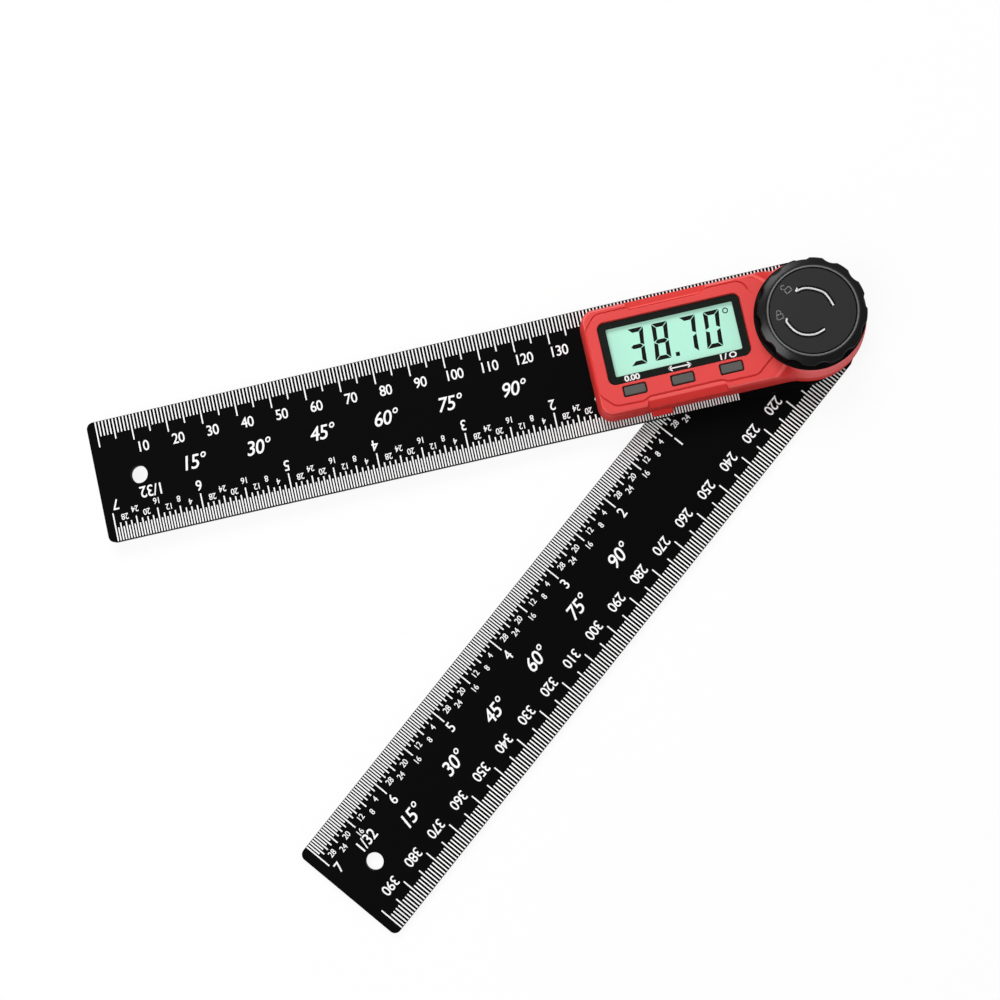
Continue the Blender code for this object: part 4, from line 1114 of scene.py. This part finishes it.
def housing_shell(edge):
    """Moulded shell: wall, hub, grips, panel and its openings, with the room for the works."""
    foot = DECK + SEAT_GAP
    body = [[(x, y, max(z, foot)) for x, y, z in ring] for ring in wall_rings(0, SHOULDER, 6)]
    hub = loft([
        at_height(circle(HUB_RADIUS * radius), max(mix(DECK, SHOULDER, height), foot))
        for radius, height in spline(HUB_LEVELS, 4)
    ])
    panel = rounded([(-HOUSING_REACH * x, HOUSING_HALF * y) for x, y in PANEL], 1.2 * MM)
    levels = eased(SHOULDER - 0.85 * MM, PANEL_TOP, edge, bottom=False)
    raised = outward(loft([at_height(shrunk(panel, inset), z) for z, inset in levels]))
    beside = [
        inner if outer[0] > GROOVE_END and outer[1] > 0 else outer
        for outer, inner in zip(shrunk(panel, -GROOVE), shrunk(panel, 0.1 * MM))
    ]
    groove = [at_height(beside, z) for z in (SHOULDER - 0.55 * MM, PANEL_TOP + OVERRUN)]
    cavity = wall_rings(WALL, ROOF, 1)
    cavity[0] = [(x, y, DECK - OVERRUN) for x, y, z in cavity[0]]
    hub_room = disc(HUB_RADIUS * 0.925 - WALL, straight(DECK - OVERRUN, ROOF))
    seams = []
    for points in SEAMS:
        seams.append(stroke([(x * MM, y * MM) for x, y in points], 0.3 * MM, 2 * MM))
        seams[-1].transform(Matrix.Translation((0, 0, SHOULDER - 0.35 * MM)))
    steps = [
        ("UNION", hub), *cut(grip_cutter(-1), grip_cutter(1), *seams, outward(loft(groove))),
        ("UNION", raised), *cut(loft(cavity), hub_room),
    ]
    for name in SCREWS:
        centre = middle(name)
        steps.append(("UNION", disc(BOSS, straight(foot, ROOF + edge), centre, 32)))
        hole = straight(DECK - OVERRUN, DECK + BOSS_HOLE_TOP)
        steps += cut(disc(SHANK_HOLE, hole, centre, 32))
    seat = WINDOW_LOW.z - SEAT_GAP
    window = grown_box(WINDOW_LOW, WINDOW_HIGH, RUN_GAP)
    view = straight(ROOF - 0.25 * MM, seat + 0.25 * MM)
    steps += cut(
        block(*window, 2 * MM, mouth(seat, PANEL_TOP, edge)),
        block(*view_area(0.25 * MM), 0.4 * MM, view),
        disc(SPINDLE_HOLE, straight(ROOF - OVERRUN, PANEL_TOP + OVERRUN), steps=48),
    )
    for name in BUTTONS:
        opening = grown_box(*button_face(name), BUTTON_GAP)
        steps += cut(block(*opening, 0.55 * MM, mouth(ROOF - OVERRUN, PANEL_TOP, edge)))
    low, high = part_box("battery_tray")
    low, high, top = low.x - RUN_GAP, high.x + RUN_GAP, high.z + RUN_GAP
    outside, inside = -HOUSING_HALF - OVERRUN, -HOUSING_HALF + 2 * WALL
    tray = straight(DECK - OVERRUN, top)
    return carved(loft(body), steps + cut(block((low, outside), (high, inside), 0.25 * MM, tray)))


class FINDER_OT_housing(Step, Operator):
    """Make the moulded housing with its raised panel, grips and openings"""

    bl_idname = "finder.housing"
    bl_label = "Housing"

    def make(self, scene):
        shell = housing_shell(scene.finder_housing.edge)
        piece("housing_shell", shell, "housing_red", "upper_arm", ("housing",))
        tray = dressed("battery_tray", 0.2 * MM)
        piece("tray_moulding", tray, "housing_red", "battery_tray",
              ("battery_tray",))


SEGMENTS = {
    "0": "abcdef", "1": "bc", "2": "abged", "3": "abgcd", "4": "fgbc", "5": "afgcd",
    "6": "afgedc", "7": "abc", "8": "abcdefg", "9": "abcdfg",
}
# Left and lower ends of the digits, then the point's left end
DIGIT_STARTS, DIGIT_FOOT, POINT = (-49.95, -43.2, -35.45, -28.75), -2.6 * MM, -37.45 * MM
POINT_SIZE = (1.1 * MM, 1.15 * MM)
DEGREE, DEGREE_RADII = (-21.7 * MM, 6.75 * MM), (0.52 * MM, 0.8 * MM)
PLATE = 0.03 * MM
WINDOW_CORNER, VIEW_CORNER = 1.85 * MM, 0.4 * MM
LABEL_ROW = -5.69 * MM
ARROW_HALF, ARROW_TIP, ARROW_RISE, ARROW_LINE = 3.1 * MM, 0.95 * MM, 0.72 * MM, 0.34 * MM


def segment_outlines(width, height, thick, stout):
    """Mitred outlines of seven segments in a box from the origin: bars thick, uprights stout."""
    gap = thick * 0.11
    middle, half = height / 2, thick / 2
    near, away = stout, width - stout
    under = height - thick
    top = ((gap, height), (near + gap, under), (away - gap, under), (width - gap, height))
    right = (
        (width, height - gap), (away, under - gap), (away, middle + half + gap),
        (width - half * 0.3, middle + gap),
    )
    bar = (
        (half * 0.7 + gap, middle), (near, middle - half), (away, middle - half),
        (width - half * 0.7 - gap, middle), (away, middle + half), (near, middle + half),
    )

    def turned_over(outline):
        return tuple((x, height - y) for x, y in outline)

    def turned_round(outline):
        return tuple((width - x, y) for x, y in outline)

    return {
        "a": top, "d": turned_over(top), "b": right, "c": turned_over(right),
        "f": turned_round(right), "e": turned_over(turned_round(right)), "g": bar,
    }


def make_reading(given):
    """Digits, point and degree sign of the display, standing on z = 0."""
    lean = math.tan(given.slant)
    outlines = segment_outlines(
        given.digit_width, given.digit_height, given.segment, given.upright
    )
    digits = given.reading.replace(".", "")
    plates = [
        plate_of([(start * MM + x + lean * y, DIGIT_FOOT + y) for x, y in outlines[letter]], PLATE)
        for start, digit in zip(DIGIT_STARTS, digits)
        for letter in SEGMENTS[digit]
    ]
    point = (POINT, DIGIT_FOOT), (POINT + POINT_SIZE[0], DIGIT_FOOT + POINT_SIZE[1])
    plates.append(plate_of(round_box(*point, 0.1 * MM, steps=2), PLATE))
    inner, outer = DEGREE_RADII
    rings = ((inner, 0), (outer, 0), (outer, PLATE), (inner, PLATE))
    plates.append(loft([at_height(circle(r, 32, DEGREE), z) for r, z in rings], True))
    return joined(*plates)


def make_marks(height):
    """Signs over the three buttons, standing on z = 0."""
    left, x, right = (middle(name)[0] for name in BUTTONS)
    words = [("0.00", height, left, LABEL_ROW, 0), ("I / O", height, right, LABEL_ROW, 0)]
    lines = [[(x - ARROW_HALF, LABEL_ROW), (x + ARROW_HALF, LABEL_ROW)]]
    for side in (-1, 1):
        head, back = (x + side * ARROW_HALF, LABEL_ROW), x + side * (ARROW_HALF - ARROW_TIP)
        lines += [[head, (back, LABEL_ROW + up * ARROW_RISE)] for up in (-1, 1)]
    arrows = [stroke(points, ARROW_LINE, PLATE) for points in lines]
    return joined(lettering(words, PLATE, 0.03, 0, 1.2), *arrows)


class FINDER_OT_display(Step, Operator):
    """Make the window pane, its printed border, the digits and the marks over the buttons"""

    bl_idname = "finder.display"
    bl_label = "Display"

    def make(self, scene):
        given = scene.finder_housing
        corners = WINDOW_LOW.xy, WINDOW_HIGH.xy
        pane = block(*corners, WINDOW_CORNER, eased(WINDOW_LOW.z, WINDOW_HIGH.z, 0.15 * MM))
        piece("window_pane", pane, "window_clear", "upper_arm", ("window",))
        outer = round_box(*corners, WINDOW_CORNER)
        inner = round_box(*view_area(), VIEW_CORNER)
        low, high = WINDOW_LOW.z - 0.12 * MM, WINDOW_LOW.z - 0.02 * MM
        rings = ((inner, low), (outer, low), (outer, high), (inner, high))
        border = loft([at_height(outline, z) for outline, z in rings], True)
        piece("window_border", border, "border_black", "upper_arm")
        place = Matrix.Translation((0, 0, GLASS_TOP))
        piece("display_reading", make_reading(given), "segment_black", "upper_arm",
              (), place, soft=False)
        place = Matrix.Translation((0, 0, high))
        piece("button_marks", make_marks(given.label), "print_white", "upper_arm",
              (), place, soft=False)


class FINDER_OT_buttons(Step, Operator):
    """Make the three rubber buttons with their flanges and stems"""

    bl_idname = "finder.buttons"
    bl_label = "Buttons"

    def make(self, scene):
        top = ROOF - RUN_GAP
        for name in BUTTONS:
            low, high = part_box(name)
            face_low, face_high = button_face(name)
            levels = eased(top - 0.12 * MM, high.z, 0.28 * MM, bottom=False)
            cap = block(face_low.xy, face_high.xy, 0.45 * MM, levels)
            flange = block(low.xy, high.xy, 0.6 * MM, straight(top - 0.5 * MM, top))
            stem = disc(1 * MM, straight(low.z, top - 0.25 * MM), middle(name), 32)
            solid = carved(cap, [("UNION", flange), ("UNION", stem)])
            piece(f"{name}_cap", solid, "button_rubber", name, (name,))


# Radius and height over the foot of each level of the knob in mm, then its crest in mm and its
# rise, from the foot up
KNOB_SIDE = (
    (14.95, 0, 0, 0), (15.14, 0.07, 0, 0), (15.22, 0.22, 0, 0), (15.22, 0.48, 0, 0),
    (15.12, 0.64, 0, 0), (14.98, 0.72, 0, 0), (14.8, 0.8, 14.9, 0), (14.75, 0.95, 14.75, 0),
    (14.75, 2.2, 14.75, 0), (14.74, 3.4, 14.74, 0), (14.72, 4.7, 14.72, 0.2),
    (14.7, 5.06, 14.7, 0.36), (14.62, 5.19, 14.62, 0.36), (14.48, 5.26, 14.5, 0.36),
    (14.3, 5.33, 14.42, 0.36), (14.05, 5.42, 14.36, 0.36), (13.5, 5.62, 0, 0),
    (12.9, 5.84, 0, 0), (12.5, 6.0, 0, 0), (12.36, 6.1, 0, 0), (12.28, 6.26, 0, 0),
    (12.16, 6.37, 0, 0), (12.02, 6.4, 0, 0), (11.9, 6.37, 0, 0), (11.8, 6.26, 0, 0),
)
KNOB_STEPS = 12 * 24
KNOB_INNER, KNOB_BOSS, BOSS_FOOT, CAP_SEAT = 12.5, 6.2, 2.2, 1
FLUTE_EASE = 0.06 * MM
# Arcs on the cap, each with its barb, in mm
ARCS = (
    ((-3.3, 6.0), (-1.2, 6.4), (1.2, 5.8), (3.8, 4.2), (4.9, 2.3), (5.6, 0.1)),
    ((-7.6, -1.4), (-6.1, -4.1), (-3.9, -5.8), (-0.8, -6.35), (1.9, -5.6)),
)
BARBS = (((-3.3, 6.0), (-2.7, 6.8)), ((-7.6, -1.4), (-7.25, -0.5)))
# Place in mm, turn, and how far the bow is swung open
PADLOCKS = ((-5.2, 6.9, 0.5, 0.9), (-8.9, 0.3, 0.15, 0))
MARK_HEIGHT = CAP_HIGH.z + 0.04 * MM
PADLOCK_BEAD = 0.42 * MM


def knob_blank():
    """Turned shell of the knob, whose vertices carry what the flute tree asks for."""
    recess = (CAP_HIGH.x + RUN_GAP) / MM
    bore = (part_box("knob_insert")[1].x + RUN_GAP) / MM
    floor = (CAP_LOW.z - SEAT_GAP - KNOB_LOW.z) / MM
    ceiling = floor - CAP_SEAT
    inside = (
        (bore, ceiling), (bore, BOSS_FOOT), (KNOB_BOSS, BOSS_FOOT), (KNOB_BOSS, ceiling),
        (KNOB_INNER, ceiling), (KNOB_INNER, 0.1), (KNOB_INNER + 0.1, 0),
    )
    levels = [(radius, z, 0, 0) for radius, z in inside]
    levels += [*KNOB_SIDE, (recess, 6.1, 0, 0), (recess, floor, 0, 0)]
    bm = loft([
        at_height(circle(radius * MM, KNOB_STEPS), KNOB_LOW.z + z * MM)
        for radius, z, crest, rise in levels
    ])
    crest_layer, rise_layer = (bm.verts.layers.float.new(name) for name in ("crest", "rise"))
    for i, vert in enumerate(bm.verts):
        crest, rise = levels[i // KNOB_STEPS][2:]
        vert[crest_layer], vert[rise_layer] = crest * MM, rise
    return bm


def padlock(x, y, turn, swung):
    """Chains of points along a padlock's body and its bow."""
    half, top = 0.55 * MM, 0.6 * MM
    way = Matrix.Translation((x * MM, y * MM, MARK_HEIGHT)) @ Matrix.Rotation(turn, 4, "Z")
    body = round_box((-0.85 * MM, -0.7 * MM), (0.85 * MM, top), 0.25 * MM, steps=2)
    hinge = Matrix.Translation((-half, top, 0))
    swing = way @ hinge @ Matrix.Rotation(swung, 4, "Z") @ hinge.inverted()
    bow = arc((0, 1.15 * MM), half, 0, math.pi, 8)
    bow = [(half, 0.75 * MM), *bow, (-half, top)]
    return [way @ Vector((*p, 0)) for p in (*body, body[0])], [swing @ Vector((*p, 0)) for p in bow]


def beads(chains, swelling, width, look):
    """Raised bead along chains of points, of which the first so many swell in their middles."""
    bm = bmesh.new()
    swell = bm.verts.layers.float.new("radius")
    for number, points in enumerate(chains):
        verts = [bm.verts.new(p) for p in points]
        for i, vert in enumerate(verts):
            rise = math.sin(math.pi * i / (len(verts) - 1)) ** 0.5 if number < swelling else 0
            vert[swell] = 0.55 + 0.6 * rise if number < swelling else 1
        for a, b in zip(verts, verts[1:]):
            bm.edges.new((a, b))
    return grown(bead_tree(), mesh_from(bm), look, Bead=width)


class FINDER_OT_knob(Step, Operator):
    """Make the fluted clamp knob and its round cap with raised marks"""

    bl_idname = "finder.knob"
    bl_label = "Knob"

    def make(self, scene):
        given = scene.finder_knob
        shell = grown(
            flute_tree(), mesh_from(knob_blank()), "knob_black", Flutes=given.flutes,
            Depth=given.depth, Flute_radius=given.flute_radius, Phase=given.phase,
            Ease=FLUTE_EASE,
        )
        piece("knob_shell", shell, "knob_black", "knob", ("knob",))
        cap = disc(CAP_HIGH.x, eased(CAP_LOW.z, CAP_HIGH.z, 0.15 * MM), steps=128)
        piece("cap_disc", cap, "cap_charcoal", "knob", ("knob_cap",))

        def chain(points):
            return [Vector((x * MM, y * MM, MARK_HEIGHT)) for x, y in points]

        arcs = [spline(chain(points), 6) for points in ARCS]
        # Painted shadow: flat black plates round the arcs stand in for the shade beside the raised
        # marks
        shadow_plates = [stroke([p.xy for p in points], 2.9 * given.bead, PLATE) for points in arcs]
        place = Matrix.Translation((0, 0, CAP_HIGH.z))
        piece("painted_mark_shadows", joined(*shadow_plates), "segment_black", "knob", (), place,
              soft=False)
        lines = arcs + [chain(points) for points in BARBS]
        # Painted highlight: the arcs' pale grey stands in for their glint
        marks = beads(lines, len(arcs), given.bead, "mark_painted_highlight")
        piece("cap_arrows", marks, "mark_painted_highlight", "knob")
        locks = [line for lock in PADLOCKS for line in padlock(*lock)]
        # Painted highlight: the padlocks' dim grey stands in for their faint sheen
        marks = beads(locks, 0, PADLOCK_BEAD, "mark_faint_highlight")
        piece("cap_padlocks", marks, "mark_faint_highlight", "knob")


class FINDER_OT_screws(Step, Operator):
    """Make the four countersunk screws of the housing, seen from underneath"""

    bl_idname = "finder.screws"
    bl_label = "Screws"

    def make(self, scene):
        low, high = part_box(SCREWS[0])
        tall = 0.85 * MM
        bm = bmesh.new()
        for name in SCREWS:
            bm.verts.new((*middle(name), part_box(name)[0].z))
        screws = grown(
            screw_tree(), mesh_from(bm), "steel", Head=high.x - low.x, Head_height=tall,
            Shank=2.2 * MM, Length=high.z - low.z - tall - 0.1 * MM, Recess=2.1 * MM,
            Recess_width=0.5 * MM, Recess_depth=0.7 * MM,
        )
        piece("housing_screws", screws, "steel", "upper_arm", SCREWS)


PLAIN_FINISHES = {
    "display_mint": ("display_glass",),
    "light_white": ("back_light",),
    "rubber_grey": ("display_strip_lower", "display_strip_upper"),
    "board_green": ("main_board", "rotor_disc"),
    "epoxy_black": ("controller_chip",),
    "brass": ("battery_contact_positive", "battery_contact_negative", "pivot_bush", "knob_insert"),
    "steel": ("board_screw_1", "board_screw_2", "switch_dome_zero", "switch_dome_hold",
              "switch_dome_power", "pivot_bolt", "coin_cell", "rotor_clip"),
    "nylon_white": ("slip_washer", "knob_washer"),
    "button_rubber": ("rotor_hub",),
}


class FINDER_OT_works(Step, Operator):
    """Give the works inside, which keep their CAD shape, their own finishes"""

    bl_idname = "finder.works"
    bl_label = "Works"

    def make(self, scene):
        for name, nodes in PLAIN_FINISHES.items():
            for node in nodes:
                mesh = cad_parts[node].data
                mesh.materials.clear()
                mesh.materials.append(finish(name))


LIGHT_TARGET = Vector((-0.08, -0.03, 0))
CAMERA_PLACE = (-0.07779, -0.06868, 0.46191)
CAMERA_RIGHT = Vector((0.97474332, -0.21723489, -0.05181181))
CAMERA_UP = Vector((0.22073291, 0.97239599, 0.07565066))
CAMERA_BACK = Vector((0.03394763, -0.08517655, 0.99578738))


def soft_light(name, place, size, power):
    lamp = bpy.data.lights.new(name, "AREA")
    lamp.shape, lamp.size, lamp.energy = "DISK", size, power
    obj = holder(name, lamp)
    obj.location = place
    obj.rotation_euler = (LIGHT_TARGET - obj.location).to_track_quat("-Z", "Y").to_euler()


def looked_at(nodes):
    """1 where the camera looks, straight, in a mirror or through glass, and 0 for other rays."""
    rays = nodes.add("ShaderNodeLightPath")
    seen = rays["Is Camera Ray"].maths("MAXIMUM", rays["Is Glossy Ray"])
    return seen.maths("MAXIMUM", rays["Is Transmission Ray"])


def make_floor_pale():
    """Pale matt floor, which the camera sees all but white."""
    material, nodes, place = new_surface("floor_pale")
    base = nodes.blend(nodes.noise(place, 0.05), (0.9, 0.9, 0.9, 1), (0.93, 0.93, 0.93, 1))
    values = {"Base Color": base, "Roughness": 0.9, "Specular IOR Level": 0.0}
    matt = nodes.add("ShaderNodeBsdfPrincipled", values)
    white = nodes.add("ShaderNodeEmission", {"Color": (1, 1, 1, 1), "Strength": 1.0})
    values = {0: looked_at(nodes) * 0.9, 1: matt, 2: white}
    shader = nodes.add("ShaderNodeMixShader", values)
    nodes.add("ShaderNodeOutputMaterial", {"Surface": shader})
    return material


def make_studio(sky):
    """World of even light, whose lower half the camera sees white."""
    world = bpy.data.worlds.new("studio")
    world.use_nodes = True
    world.node_tree.nodes.clear()
    nodes = Nodes(world.node_tree)
    _, _, height = nodes.split(nodes.add("ShaderNodeTexCoord"))
    strength = looked_at(nodes) * (1 - nodes.step(height, 0.25, 0.6)) * (1 - sky) + sky
    values = {"Color": (1, 1, 1, 1), "Strength": strength}
    nodes.add("ShaderNodeOutputWorld", {"Surface": nodes.add("ShaderNodeBackground", values)})
    return world


class FINDER_OT_stage(Step, Operator):
    """Set the pale floor, the soft lights and the camera"""

    bl_idname = "finder.stage"
    bl_label = "Stage"

    def make(self, scene):
        given = scene.finder_stage
        scene.view_settings.view_transform = "Standard"
        scene.world = make_studio(given.sky)
        half = given.floor / 2
        corners = ((-half, -half), (half, -half), (half, half), (-half, half))
        bm = bmesh.new()
        bm.faces.new([bm.verts.new((x, y, FLOOR)) for x, y in corners])
        mesh = mesh_from(bm, "floor")
        mesh.materials.append(make_floor_pale())
        holder("floor", mesh)

        soft_light("key_light", (-0.6, -0.22, 1.05), 0.62, given.key)
        soft_light("back_light", (-0.1, 0.65, 0.95), 0.6, given.back)

        camera = bpy.data.cameras.new("camera")
        camera.lens, camera.sensor_width = given.lens, 36
        camera.clip_start, camera.clip_end = 0.01, 100
        obj = holder("camera", camera)
        turn = Matrix((CAMERA_RIGHT, CAMERA_UP, CAMERA_BACK)).transposed().to_4x4()
        obj.matrix_world = Matrix.Translation(CAMERA_PLACE) @ turn
        scene.camera = obj


STEPS = (
    FINDER_OT_works, FINDER_OT_arms, FINDER_OT_scales, FINDER_OT_numbers, FINDER_OT_housing,
    FINDER_OT_display, FINDER_OT_buttons, FINDER_OT_knob, FINDER_OT_screws, FINDER_OT_stage,
)


class FINDER_PT_pieces(Panel):
    bl_idname = "FINDER_PT_pieces"
    bl_label = "Angle finder"
    bl_space_type = "VIEW_3D"
    bl_region_type = "UI"
    bl_category = "Angle finder"

    def draw(self, context):
        for step in STEPS:
            self.layout.operator(step.bl_idname)


GROUPS = {
    "finder_arms": AngleFinderArms,
    "finder_housing": AngleFinderHousing,
    "finder_knob": AngleFinderKnob,
    "finder_stage": AngleFinderStage,
}


def register():
    for cls in (*GROUPS.values(), *STEPS, FINDER_PT_pieces):
        bpy.utils.register_class(cls)
    for name, group in GROUPS.items():
        setattr(bpy.types.Scene, name, PointerProperty(type=group))


def unregister():
    for name in GROUPS:
        delattr(bpy.types.Scene, name)
    for cls in reversed((*GROUPS.values(), *STEPS, FINDER_PT_pieces)):
        bpy.utils.unregister_class(cls)


def main():
    register()
    for step in STEPS:
        group, name = step.bl_idname.split(".")
        getattr(getattr(bpy.ops, group), name)()


if __name__ == "__main__":
    main()
